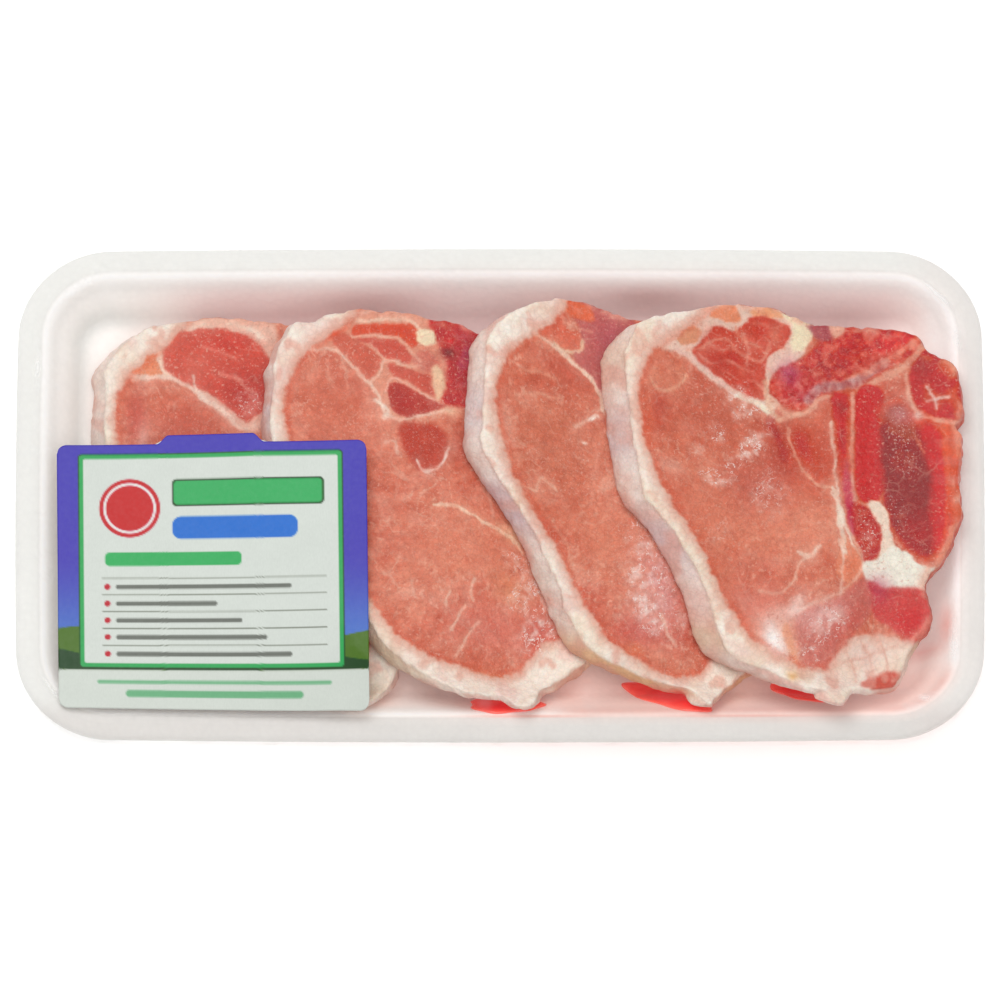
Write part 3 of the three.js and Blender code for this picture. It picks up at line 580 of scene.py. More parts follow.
def paint_flank(face):
    """Meat and fat between the notch and the tip."""
    face.area([(99.5, -5), (104, -6), (107, -12), (107, -19), (103, -23), (100.6, -14)], (192, 56, 50),
              0.95, 0.6, -0.1, 0.8, 0.3)
    face.glints((103.5, -14), (3, 8), 0.0, 0.7, False)
    face.area([(96.5, -15), (100.5, -19), (102, -25), (99, -29.5), (95, -26)], (228, 128, 98), 0.9, 0.6,
              0.05)
    face.area([(104, -3.6), (108.4, -4.4), (110, -12), (111, -18), (107, -22), (107.6, -13)],
              (238, 204, 184), 0.95, 0.5, 0.15)
    face.area([(102, -22.5), (106, -21.5), (110, -17.4), (114, -18.6), (118.4, -22.4), (125.5, -23.4),
               (130, -17), (134, -22), (126, -30), (117, -31), (110, -30.5), (104, -29)], (238, 216, 200),
              1.0, 0.45, 0.25)
    face.line([(131.5, -4), (131, -13), (128, -21.5), (122, -26)], (238, 218, 196), 2.4, 0.95, 0.6, 0.1)
    face.area([(103.5, -27.5), (108, -29), (112.2, -28.5), (121, -30.6), (124, -37), (118, -45),
               (109.4, -40), (105, -36)], (212, 82, 76), 0.95, 0.7, 0.0, 0.7)
    face.spot((106.5, -30), (4, 4), (188, 74, 92), 0.6)
    face.spot((117, -39.5), (5, 3.4), (212, 48, 52), 0.75, -0.6)
    face.spot((121.5, -34), (2, 4), (224, 118, 112), 0.7)


def paint_chop_4(face):
    """The uppermost chop, which shows whole."""
    face.spot((60, 22), (17, 12), (207, 108, 88), 0.85)
    face.spot((60, -8), (20, 15), (224, 132, 107), 0.8, -0.5)
    face.spot((72, 0), (9, 9), (203, 108, 92), 0.75)
    face.spot((80, 12), (6, 13), (192, 84, 70), 0.75)
    face.spot((90, 8), (5, 11), (206, 86, 66), 0.85)
    face.spot((84.6, 12), (4.5, 8), (196, 62, 42), 0.75)
    face.spot((88, -12), (11, 9), (228, 140, 114), 0.8)
    face.spot((72, -36), (8, 7), (222, 126, 108), 0.7)
    face.spot((45, 21), (2.6, 6), (194, 84, 70), 0.65)
    face.spot((48.4, 3.5), (2.4, 5), (228, 160, 140), 0.7, 1.2)
    face.spot((41.6, 15), (1.6, 7), (222, 104, 76), 0.6)
    face.area([(42.4, 30.8), (44.2, 34), (48.2, 36.3), (51.6, 35.4), (52.8, 32), (50.3, 27.7),
               (44.2, 26.2), (42.4, 28.9)], (222, 132, 106), 0.5, 0.8, 0.08, mottle=0.6)
    face.line([(42.6, 28.4), (44.2, 26.2), (47, 25.8), (50.3, 27.7), (52.6, 31)], (236, 176, 148), 0.5,
              0.7)
    # top group, set in pale tissue
    face.area([(41, 40), (50, 50), (62, 56), (84, 56), (86, 40), (77, 22), (71, 25), (60, 30),
               (52, 36.5)], (234, 190, 172), 0.95, 0.8, 0.05)
    face.area([(49.7, 41.2), (54.6, 46.2), (56.8, 44), (55.3, 41), (51.3, 39.6)], (222, 142, 110), 0.9,
              0.4)
    face.area([(59.2, 49.2), (62.5, 53), (66.9, 53.4), (68, 48.6), (65, 47.8), (61.4, 48.8)],
              (232, 138, 104), 0.95, 0.4)
    face.area([(70.8, 52), (75.8, 54.6), (80.4, 50.4), (76.4, 49.9), (72.4, 50.2)], (236, 156, 116), 0.9,
              0.5)
    face.area([(54, 37.8), (57, 41.6), (61.6, 46.4), (66.4, 45.6), (69.4, 48.4), (71.3, 50.6), (77, 49.6),
               (82, 48), (81.2, 43), (76, 38.6), (75, 33), (75.6, 26), (70.6, 26.6), (65.9, 28.6),
               (60.8, 32.2), (55.8, 35.8)], (206, 84, 68), 1.0, 0.4, 0.05, 0.5)
    face.spot((60, 39), (3.4, 2.2), (226, 128, 108), 0.75, 0.6, mottle=0.5)
    face.spot((72, 42), (3.6, 2.6), (222, 120, 102), 0.7, -0.4, mottle=0.5)
    face.spot((78, 45), (2.6, 3), (226, 136, 112), 0.7, mottle=0.4)
    face.spot((66.6, 37.4), (4.6, 2), (196, 58, 48), 0.7, -0.6, mottle=0.4)
    for points in (
            [(56, 37.4), (60, 35.6), (64, 36.6), (68, 35), (72, 33.6)],
            [(59, 41.4), (62, 39.6), (64.6, 40.2)], [(68.4, 45), (70, 40.8), (69.6, 36)],
            [(63.6, 33.6), (67, 31.2), (71.6, 31.4), (74, 29)]):
        face.line(points, (236, 160, 140), 0.6, 0.8)
    face.spot((74, 46), (2.4, 4), (206, 70, 58), 0.7)
    face.spot((61, 43), (4, 3), (212, 88, 72), 0.7)
    face.spot((69, 31), (4, 3.4), (204, 66, 52), 0.7)
    face.spot((62, 36.4), (5, 2.6), (192, 70, 60), 0.6, -0.5)
    face.spot((68.6, 33.4), (1.6, 2.2), (226, 120, 100), 0.6)
    face.line([(52.9, 38.3), (58, 39.8), (61.4, 42.6), (65, 42.4), (66.4, 40.4), (71.5, 37.8), (74, 37.4),
               (75.8, 40.6), (75.9, 43)], (232, 150, 128), 0.55, 0.8)
    face.line([(66.6, 46.6), (68, 43.8), (71.4, 42), (73.6, 41)], (228, 136, 112), 0.5, 0.7)
    face.line([(72, 48.6), (77, 47.4), (80.6, 48.6)], (230, 140, 118), 0.6, 0.7)
    face.line([(74, 44.6), (77.4, 42.4), (80.6, 41.4)], (226, 132, 110), 0.5, 0.6)
    face.line([(75, 36), (77, 33), (76, 28)], (230, 140, 124), 0.8, 0.7)
    face.line([(50, 38), (56, 35.2), (60.6, 31.6), (63.4, 28.8), (66, 26.9), (70, 25.4)], (234, 178, 164),
              0.9, 0.9, 0.5, -0.15)
    face.line([(67, 26.4), (71, 25.2), (75.6, 22.6)], (240, 218, 194), 2.4, 0.95, 0.6, 0.1)
    face.line([(75, 31), (76.4, 24), (78.5, 20.3), (82.1, 20.5), (84.6, 21.4)], (236, 186, 158), 1.6, 0.8,
              0.9, 0.05)
    face.area([(81.6, 53), (79.5, 51.4), (82.6, 48.5), (82.2, 42.8), (83.4, 39.8), (86.4, 41.6),
               (89, 46.4), (86, 52)], (238, 208, 176), 0.95, 0.6, 0.15)
    face.spot((70, 26.8), (2.0, 1.2), (206, 60, 48), 0.5)
    paint_bone(face)
    face.area([(87.4, 48.4), (90, 44), (93.4, 44), (93.6, 48.4)], (178, 88, 92), 0.85, 0.7, -0.3)
    face.area([(93.6, 49), (94.6, 44.4), (97.6, 46), (97.4, 49.6)], (236, 184, 158), 0.8, 0.6, 0.1)
    face.spot((81.6, 33.6), (3.4, 4), (206, 106, 124), 0.85)
    face.spot((82.2, 32.8), (1.5, 1.9), (172, 40, 66), 0.9, mottle=0.4)
    paint_process(face)
    paint_tenderloin(face)
    paint_flank(face)
    face.line([(81, 17.5), (82.4, 11.2), (84.9, 5.3), (89.3, 0.8), (93.4, -0.5)], (234, 168, 142), 0.6,
              0.8)
    face.line([(93.7, -0.5), (95.3, -5.2), (96.3, -12.1), (96.9, -19)], (240, 208, 188), 1.6, 0.9, 0.6,
              0.1)
    face.spot((91.6, 12), (2.6, 8), (206, 96, 76), 0.6)
    face.line([(76.5, 19), (78.6, 14), (80.6, 8)], (178, 60, 56), 2.2, 0.6, 1.4, 0)
    face.line([(83.9, -36.7), (90.7, -33.4), (96.8, -29.9), (101.2, -25.3), (101.9, -20.3),
               (98.9, -13.5)], (238, 186, 166), 0.6, 0.75)
    face.line([(73.1, -31), (77.9, -31.6), (82.2, -29), (84.1, -23.3), (89, -18.8)], (236, 180, 158), 0.5,
              0.75)
    face.line([(84, -19.6), (87.6, -20.6), (90, -17.6)], (240, 196, 176), 0.8, 0.8)
    face.line([(95.4, -16), (96.6, -22), (95.8, -30), (95.7, -36)], (240, 200, 182), 0.7, 0.7)
    face.area([(84, -38), (91, -34.6), (97, -31), (102, -26.5), (104.4, -30), (104.8, -35), (100, -42),
               (96.6, -47), (93.4, -52.4), (86.2, -54), (84, -48)], (208, 112, 100), 0.9, 0.9, 0.0, 0.8)
    face.spot((97, -41), (3, 8), (202, 88, 76), 0.7, -0.6)
    face.spot((90, -38), (8, 4), (232, 168, 158), 0.7, 0.5)
    face.glints((92, -40), (9, 6), 0.6, 1.0)
    face.glints((86, -50), (5, 4), 0.3, 0.7)
    # Painted highlights: near-white sheen spots where the film lies on the wet meat near the tip
    face.spot((77.5, -45.5), (4.2, 7), (250, 232, 226), 0.95, 0.35, 0.9)
    face.spot((83, -36), (2.4, 5), (246, 214, 204), 0.7, -0.5)
    face.spot((80, -52), (2, 4), (246, 214, 204), 0.6, -0.1)
    face.spot((79, -38), (3, 4), (234, 178, 164), 0.6)
    face.line([(80.6, -42), (82.4, -50), (82.6, -56)], (232, 150, 116), 2.4, 0.8, 0.9, -0.1)
    face.spot((82.3, -56.5), (1.8, 1.6), (242, 190, 128), 0.8)
    face.line([(101, -44), (100, -50), (98, -55)], (244, 224, 206), 0.7, 0.5, 0.7, -0.1)
    face.glints((69.5, 22.5), (4.5, 3.4), 0.8, 0.9)
    face.glints((61, 15), (3, 3.4), 0.8, 0.85)
    face.glints((71, 11), (5, 3.6), 0.8, 1.0)
    face.glints((61.5, 1.6), (4.5, 2.4), 0.0, 0.9)
    face.glints((76, -2), (5, 7), 0.2, 0.45)
    face.glints((65, 25), (7, 2.2), 0.8, 0.8)
    face.glints((76, 17), (2.2, 6), -0.3, 0.5)
    face.glints((66, 6), (7, 2.2), 0.6, 0.7)
    face.glints((56, 9), (3, 2.4), 0.2, 0.5)
    face.glints((62, -14), (6, 3), 0.9, 0.3)


def paint_over_fat_4(face):
    """Meat and threads in the fat of the tip, laid over it."""
    face.spot((100, -50), (9, 6), (238, 200, 184), 0.6, 0.6, mottle=0.5)
    face.spot((110, -47), (5, 5), (240, 204, 188), 0.6, 0.6, mottle=0.5)
    for start, end in (((97, -46), (100, -57)), ((101, -43), (105, -53)), ((105.6, -42), (109.6, -52)),
                       ((93, -52), (112, -45))):
        middle = ((start[0] + end[0]) / 2 + 0.8, (start[1] + end[1]) / 2)
        face.line([start, middle, end], (230, 176, 158), 0.4, 0.7, 0.35)
    face.spot((82.3, -56.5), (1.6, 1.6), (242, 186, 124), 0.8)
    face.area([(101.6, -57.4), (105, -54.2), (110, -52.6), (113.4, -53.4), (112, -56.6), (107, -58.6)],
              (208, 78, 64), 0.85, 0.7, 0.05, 0.6, 0.35)
    face.spot((117, -41), (4, 3), (212, 60, 60), 0.8, -0.7)


def paint_chop_3(face):
    """The third chop, with its right side under the fourth."""
    face.spot((58, 12), (15, 16), (208, 118, 94), 0.7)
    face.spot((60, 34), (10, 5), (200, 92, 76), 0.6, -0.6)
    face.spot((70, -14), (13, 14), (222, 134, 108), 0.7, -0.6)
    face.spot((80, -42), (8, 5), (206, 90, 78), 0.8)
    face.spot((42, 17), (2.4, 9), (226, 152, 132), 0.8, 0.1, mottle=0.5)
    face.area([(60, 54), (74, 53.5), (80, 46), (79, 34), (71, 25), (66.4, 32), (61, 38.5), (63, 46)],
              (198, 102, 96), 0.95, 0.8, 0.0, 0.5)
    face.spot((72, 44), (6, 5), (188, 92, 98), 0.6, -0.6)
    face.area([(50.8, 47), (54.6, 51.4), (58, 51), (59.4, 46), (62.6, 45.4), (63.6, 41), (58.6, 40.6),
               (54, 43.4)], (220, 112, 90), 0.95, 0.5)
    face.area([(57.6, 52.6), (61, 55), (66.4, 53), (66.6, 49.4), (60.8, 50)], (230, 114, 82), 0.9, 0.6)
    face.line([(56.8, 51), (58.6, 48.4), (62.8, 46.8), (66, 45.6)], (234, 160, 140), 0.5, 0.7)
    face.line([(63.8, 43), (62.8, 40.6), (58.6, 39.8), (55.6, 42)], (238, 196, 166), 0.9, 0.9)
    face.line([(49.1, 45.3), (52.7, 43), (56, 40.7), (60.3, 37.1), (65, 32.9), (68.9, 27), (69.4, 23)],
              (240, 196, 174), 1.3, 0.95, 0.5, -0.12)
    face.line([(68, 21), (65, 19.6), (61.6, 17)], (240, 196, 176), 0.6, 0.7)
    face.spot((66.6, 20.4), (1.6, 0.7), (250, 228, 214), 0.9, 0.3)
    face.line([(47.6, 33), (51, 32.4), (56, 31.4)], (234, 166, 140), 0.45, 0.6)
    face.line([(45, 25), (50, 26.4), (56, 25)], (234, 166, 140), 0.45, 0.55)
    face.line([(47, -2), (50, -2.6), (52, 1), (56, -2)], (238, 180, 156), 0.5, 0.7)
    face.line([(56, -13), (60, -20), (62, -28)], (234, 160, 136), 0.45, 0.5)
    face.line([(66, 4), (68, 9), (66.6, 13)], (230, 150, 128), 0.45, 0.5)
    face.spot((64, 12.6), (0.8, 0.6), (250, 214, 196), 0.9)
    # Painted highlights: glints and pale sheen spots where the film lies on the wet meat
    face.glints((82, -12), (6, 7), 0.2, 0.6)
    face.glints((84, -28), (8, 11), 0.2, 1.0)
    face.glints((83, -38), (8, 8), 0.4, 1.0)
    face.spot((86, -28), (5, 12), (226, 150, 148), 0.6, 0.3, mottle=0.3)
    face.glints((80, -33), (6, 9), 0.2, 0.9)
    face.spot((82, -36), (7, 10), (240, 190, 182), 0.45, 0.3, mottle=0.3)
    face.line([(84, -17.6), (88, -16), (91, -14)], (238, 152, 124), 1.3, 0.85, 0.5, 0.15)
    face.line([(86, -37), (87.6, -42), (90, -45)], (240, 186, 166), 0.7, 0.8)
    face.spot((78, -47.6), (2.6, 1.8), (226, 120, 86), 0.7)
    face.spot((76, -50.6), (3, 1.4), (242, 206, 160), 0.7, -0.6)
    face.spot((99, -58), (3.4, 1.8), (216, 106, 94), 0.9, 0.2)
    paint_bone(face)
    paint_process(face)
    paint_tenderloin(face)
    paint_flank(face)


def paint_chop_2(face):
    """The second chop, with its right side under the third."""
    face.spot((52, 26), (9, 11), (210, 108, 86), 0.7)
    face.spot((64, 12), (9, 10), (224, 130, 106), 0.7)
    face.spot((88, -16), (16, 12), (226, 136, 110), 0.7)
    face.spot((96, -40), (15, 9), (222, 124, 108), 0.7)
    face.spot((110, -42), (5, 7), (206, 92, 82), 0.75)
    face.area([(45, 41.6), (51, 47.5), (56, 51.4), (70, 52.4), (78, 51), (84, 40), (85, 23), (77, 21),
               (69, 19.4), (66, 21.6), (61.2, 30.6), (56.8, 35.6), (51.4, 40.6)], (224, 142, 118), 0.9,
              0.6)
    face.area([(56.6, 45.4), (57.4, 48), (66, 48.6), (74, 48), (76.4, 44), (73.6, 41.4), (69.9, 44.2),
               (64, 45.6)], (216, 84, 60), 1.0, 0.35, 0.05)
    face.area([(57.6, 44.2), (64.6, 44.2), (69.8, 42.8), (73.6, 38.6), (72.6, 36.6), (66.2, 38.4),
               (62, 42)], (210, 92, 76), 1.0, 0.35, 0.05)
    face.area([(51.6, 44.6), (55.6, 45), (60.6, 42), (65, 38), (64, 34.2), (61.2, 31.6), (57, 36.4),
               (52.4, 41)], (212, 104, 84), 1.0, 0.4, 0.05)
    face.area([(67.4, 30.6), (71.6, 30.6), (76.4, 27), (83.6, 23.6), (77.6, 21.8), (71, 20.6),
               (67.4, 23.8)], (190, 74, 64), 1.0, 0.4, 0.05)
    face.area([(66.8, 36.6), (72.7, 35.2), (80, 32.4), (83.4, 26.4), (77, 28), (72, 31.8), (68.4, 33)],
              (208, 94, 78), 0.95, 0.5, 0.03)
    face.area([(73.4, 37.4), (77, 40.6), (80.6, 38), (80, 34), (75, 35.4)], (206, 112, 96), 0.9, 0.8)
    face.line([(45.6, 40.6), (51.2, 41.1), (56.8, 36), (61.2, 30.8), (63.6, 27.4), (66, 21.8),
               (69.2, 19.7), (76.7, 21.3), (84.6, 22.6)], (240, 192, 172), 0.9, 0.95, 0.45, -0.1)
    face.line([(61.2, 31), (64.4, 33.5), (65.9, 37.7), (72.7, 36), (76, 36)], (238, 180, 158), 0.7, 0.9,
              0.4)
    face.line([(62, 42.6), (66, 38)], (236, 172, 150), 0.6, 0.8, 0.4)
    face.line([(66, 28.5), (67.9, 32.4), (71.9, 31), (76.7, 27.3), (84.6, 23.4)], (236, 170, 150), 0.6,
              0.9, 0.4)
    face.line([(56.7, 44.9), (64.7, 44.9), (69.9, 43.6), (73.9, 39.4), (76, 37)], (238, 172, 150), 0.7,
              0.9, 0.4)
    face.line([(58, 49.6), (67, 49.9), (73, 49.4), (77, 45.4)], (242, 200, 176), 1.0, 0.9, 0.5)
    face.line([(52, 47), (60, 52.4), (70, 53.6), (78, 51)], (236, 190, 172), 1.6, 0.8, 0.9, 0.1)
    face.line([(63, 25.6), (67, 22), (65.6, 20.6)], (244, 210, 192), 0.8, 0.85)
    face.spot((52, 45.2), (2.4, 0.9), (226, 92, 66), 0.9, 0.5)
    face.line([(54, 38), (55, 33), (56, 29)], (234, 164, 142), 0.5, 0.6)
    face.line([(49.6, 36), (50.6, 32)], (234, 164, 142), 0.5, 0.6)
    face.area([(70.4, 18.4), (77, 19), (82.4, 16.6), (84, 11), (81.6, 6.6), (77, 4.6), (72.6, 9),
               (70.4, 13)], (194, 78, 62), 0.9, 1.0)
    face.spot((88, 14), (4, 8), (194, 96, 78), 0.7)
    face.line([(75.6, 7.4), (77.4, 4.5), (81.5, 6.4), (84.3, 11.6)], (244, 206, 192), 0.7, 0.95)
    face.line([(66, 13.4), (68.4, 13.6), (69.4, 10)], (242, 202, 184), 0.8, 0.7)
    face.area([(79, 52), (88, 52), (93, 44), (92, 26), (85, 22.6), (82.4, 28), (83.6, 36), (80.6, 43)],
              (194, 48, 46), 0.95, 0.9, -0.1, 0.85, 0.45)
    face.spot((88.6, 38), (4, 9), (178, 72, 92), 0.8, mottle=0.3)
    face.spot((84.4, 43), (1.4, 1.4), (226, 70, 44), 0.9)
    face.spot((83.6, 39.6), (2.4, 1.6), (120, 26, 30), 0.7)
    face.spot((84.6, 25.4), (2.6, 1.8), (190, 44, 38), 0.8)
    face.area([(75, 46.6), (79.4, 46.4), (80.4, 42.8), (77, 41.6), (74.6, 43.4)], (240, 206, 174), 0.95,
              0.5, 0.25)
    face.area([(79.8, 36), (82, 34), (83, 28.4), (81, 25.6), (79.4, 30)], (238, 192, 158), 0.85, 0.7,
              0.15)
    face.spot((85, 22.6), (3.4, 1.6), (236, 180, 150), 0.85)
    face.line([(80, -5.5), (84.4, -5.4), (88.5, -6.8), (95.5, -10.9), (101.5, -14.2), (104.6, -18)],
              (242, 196, 170), 0.8, 0.9)
    face.spot((101.6, -13), (5, 2.4), (238, 186, 152), 0.6, -0.7)
    for points in ([(88.5, -34.5), (86.6, -38), (84.8, -41.8)], [(92.7, -39.2), (91, -41), (88.6, -45)],
                   [(85.8, -49.1), (88, -46)], [(91.4, -27), (90, -31), (91, -33)], [(84, -31), (83, -35)]):
        face.line(points, (240, 186, 164), 0.7, 0.8)
    face.glints((105, -22), (5, 6), 0.4, 0.6)
    face.glints((107, -31), (6, 9), 0.3, 0.9)
    face.glints((110, -41), (6, 6), 0.3, 0.9)
    face.spot((101, -29), (4, 5), (230, 150, 116), 0.5)
    face.spot((92, -55.8), (8, 2.4), (242, 214, 166), 0.8)
    face.spot((97, -54.6), (2.4, 1.2), (232, 140, 106), 0.8)
    face.spot((107, -58.6), (4, 1.4), (216, 112, 98), 0.85, 0.3)
    face.line([(92.4, 22), (93.6, 12), (94.6, 2), (96.4, -8)], (232, 168, 148), 0.8, 0.55)


def paint_chop_1(face):
    """The first chop, mostly under the second and the label."""
    face.spot((58, 20), (13, 10), (208, 102, 84), 0.8)
    face.spot((44, 24), (3, 8), (200, 86, 76), 0.6)
    face.spot((46, 16), (2, 7), (230, 166, 152), 0.7)
    face.spot((78, 4), (16, 14), (222, 128, 106), 0.6)
    face.area([(38, 37), (42, 46), (54, 52), (82, 53), (84, 30), (79, 20), (73, 21), (62, 30.4),
               (56, 34.6), (46, 35.4)], (234, 178, 158), 0.95, 0.9)
    face.area([(42.4, 37.6), (44.6, 40.6), (43.6, 45), (48.6, 46.2), (50, 41), (51.4, 36.9),
               (46.6, 36.8)], (230, 132, 96), 0.95, 0.4)
    face.area([(51.8, 43), (52, 46), (57.6, 50), (66, 50.6), (75, 48.4), (80, 44), (84, 36), (80, 26),
               (76, 22.6), (70.6, 26.6), (66, 30.4), (61.6, 32.6), (55, 35.8), (52.4, 38.4)],
              (213, 92, 76), 1.0, 0.5, 0.05, 0.6)
    face.spot((70, 46), (8, 3), (212, 76, 64), 0.7)
    face.spot((75, 32), (7, 6.4), (186, 66, 58), 0.8, -0.5)
    face.spot((61, 40), (5, 4), (222, 116, 98), 0.6)
    face.line([(45.5, 35.9), (53.1, 35.9), (59.2, 33.1), (62.4, 30.2)], (238, 192, 174), 1.3, 0.9)
    face.line([(60, 36.5), (61, 33), (63.4, 29.6)], (240, 200, 184), 0.6, 0.8)
    face.line([(61.9, 30.4), (66.9, 27.6), (70.7, 24.2), (73.4, 21), (78, 21.4)], (240, 196, 178), 1.2,
              0.95, 0.5, -0.1)
    face.line([(50.3, 45.6), (50.7, 41.2), (52.7, 36.7)], (242, 196, 174), 0.8, 0.9)
    face.line([(63, 45), (68, 43.4), (72, 41.6)], (236, 152, 134), 0.7, 0.6)
    face.line([(68, 37), (72, 36), (77, 31.6)], (236, 150, 132), 0.6, 0.7)
    face.line([(76.4, 21.6), (78.6, 24), (84, 22)], (236, 170, 150), 1.6, 0.8)
    face.line([(62, 52.8), (68, 53.4), (74, 51.6), (80, 47.4)], (238, 204, 186), 2.2, 0.9, 0.8, 0.1)
    face.line([(52, 46.4), (57, 50.6), (63, 52.6)], (240, 212, 194), 1.6, 0.9, 0.8)
    face.glints((76, 28), (5, 4), 0.2, 0.5, False)
    face.slide = 8.0
    paint_bone(face)
    paint_process(face)


PAINTERS = [paint_chop_1, paint_chop_2, paint_chop_3, paint_chop_4]


# Meshes

def to_linear(tone):
    share = np.clip(np.asarray(tone, float) / 255, 0, 1)
    return np.where(share <= 0.04045, share / 12.92, ((share + 0.055) / 1.055) ** 2.4)


def grid_quads(rows, columns, wrap=False, start=0):
    i = np.arange(rows - 1)[:, None]
    j = np.arange(columns if wrap else columns - 1)[None, :]
    k = (j + 1) % columns
    quads = np.stack([i * columns + j, i * columns + k, (i + 1) * columns + k, (i + 1) * columns + j], -1)
    return quads.reshape(-1, 4) + start


def fan(centre, first, columns, flip=False):
    j = np.arange(columns)
    k = (j + 1) % columns
    ends = (first + k, first + j) if flip else (first + j, first + k)
    return np.stack([np.full(columns, centre), *ends], 1)


def caps(rings, columns):
    """Fans that close the first and last ring, with their middles as the last two points."""
    first, last = rings * columns, (rings - 1) * columns
    return np.vstack([fan(first, 0, columns), fan(first + 1, last, columns, True)])


def around_edge(index):
    """The outer entries of a grid of numbers, in order round it."""
    return np.concatenate([index[:-1, 0], index[-1, :-1], index[:0:-1, -1], index[0, :0:-1]])


def band(upper, lower):
    """Quads between two closed rows of points."""
    return np.stack([upper, lower, np.roll(lower, -1), np.roll(upper, -1)], 1)


def make_mesh(name, points, quads, tris=None):
    tris = np.zeros((0, 3), int) if tris is None else tris
    loops = np.concatenate([quads.ravel(), tris.ravel()]).astype(np.int32)
    sizes = np.concatenate([np.full(len(quads), 4), np.full(len(tris), 3)])
    mesh = bpy.data.meshes.new(name)
    mesh.vertices.add(len(points))
    mesh.vertices.foreach_set("co", (np.asarray(points) * 0.001).astype(np.float32).ravel())
    mesh.loops.add(len(loops))
    mesh.loops.foreach_set("vertex_index", loops)
    mesh.polygons.add(len(sizes))
    mesh.polygons.foreach_set("loop_start", np.concatenate([[0], np.cumsum(sizes)[:-1]]).astype(np.int32))
    mesh.update(calc_edges=True)
    mesh.validate()
    mesh.polygons.foreach_set("use_smooth", np.ones(len(sizes), bool))
    return mesh


def add_tone(mesh, tone, shine=0.0):
    """Stores the colour without the light that its glossy skin adds."""
    colour = np.ones((len(tone), 4), np.float32)
    colour[:, :3] = np.maximum(to_linear(tone) - shine, 0.012)
    layer = mesh.attributes.new("tone", "FLOAT_COLOR", "POINT")
    layer.data.foreach_set("color", colour.ravel())


def add_value(mesh, name, values):
    layer = mesh.attributes.new(name, "FLOAT", "POINT")
    layer.data.foreach_set("value", np.asarray(values, np.float32))


def add_piece(name, mesh, material, replaced=()):
    piece = bpy.data.objects.new(name, mesh)
    bpy.context.scene.collection.objects.link(piece)
    mesh.materials.append(material)
    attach(piece, "root")
    if replaced:
        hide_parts(*replaced)
    return piece


# Materials

class Look:
    """A material's node tree, built from its output backwards."""

    def __init__(self, name):
        self.material = bpy.data.materials.new(name)
        self.material.use_nodes = True
        self.tree = self.material.node_tree
        self.tree.nodes.clear()

    def node(self, kind, inputs=None, **settings):
        made = self.tree.nodes.new(kind)
        for key, value in settings.items():
            setattr(made, key, value)
        for key, value in (inputs or {}).items():
            if isinstance(value, bpy.types.NodeSocket):
                self.tree.links.new(value, made.inputs[key])
            else:
                made.inputs[key].default_value = value
        return made

    def place(self):
        return self.node("ShaderNodeTexCoord").outputs["Object"]

    def noise(self, scale, detail=3.0, roughness=0.55, stretch=None):
        vector = self.place()
        if stretch:
            vector = self.node("ShaderNodeMapping", {"Vector": vector, "Scale": stretch}).outputs[0]
        return self.node("ShaderNodeTexNoise", {
            "Vector": vector, "Scale": scale, "Detail": detail, "Roughness": roughness}).outputs["Fac"]

    def cells(self, scale, place=None, feature="F1"):
        return self.node("ShaderNodeTexVoronoi", {"Vector": place or self.place(), "Scale": scale},
                         feature=feature).outputs["Distance"]

    def bent_place(self, scale, reach):
        """Places shifted at random, so that cells drawn over them have curving edges."""
        random = self.node("ShaderNodeTexNoise", {"Vector": self.place(), "Scale": scale, "Detail": 2.0})
        shift = self.scaled(self.node("ShaderNodeVectorMath", {
            0: random.outputs["Color"], 1: (0.5, 0.5, 0.5)}, operation="SUBTRACT").outputs[0], reach)
        return self.node("ShaderNodeVectorMath", {0: self.place(), 1: shift}).outputs[0]

    def ranged(self, value, low, high, to_low, to_high):
        return self.node("ShaderNodeMapRange", {
            "Value": value, "From Min": low, "From Max": high,
            "To Min": to_low, "To Max": to_high}).outputs[0]

    def sum(self, first, second, operation="ADD"):
        return self.node("ShaderNodeMath", {0: first, 1: second}, operation=operation).outputs[0]

    def tone(self):
        return self.node("ShaderNodeAttribute", attribute_name="tone").outputs["Color"]

    def value(self, name):
        return self.node("ShaderNodeAttribute", attribute_name=name).outputs["Fac"]

    def scaled(self, colour, factor):
        return self.node("ShaderNodeVectorMath", {0: colour, "Scale": factor}, operation="SCALE").outputs[0]

    def mixed(self, factor, first, second):
        made = self.node("ShaderNodeMix", data_type="RGBA")
        for index, value in ((0, factor), (6, first), (7, second)):
            if isinstance(value, bpy.types.NodeSocket):
                self.tree.links.new(value, made.inputs[index])
            else:
                made.inputs[index].default_value = value
        return made.outputs[2]

    def bump(self, height, strength, distance, normal=None):
        inputs = {"Height": height, "Strength": strength, "Distance": distance}
        if normal:
            inputs["Normal"] = normal
        return self.node("ShaderNodeBump", inputs).outputs[0]

    def finish(self, shader):
        self.node("ShaderNodeOutputMaterial", {"Surface": shader})
        self.material.cycles.emission_sampling = "NONE"
        return self.material

    def principled(self, **inputs):
        names = {key.replace("_", " "): value for key, value in inputs.items()}
        return self.finish(self.node("ShaderNodeBsdfPrincipled", names).outputs[0])


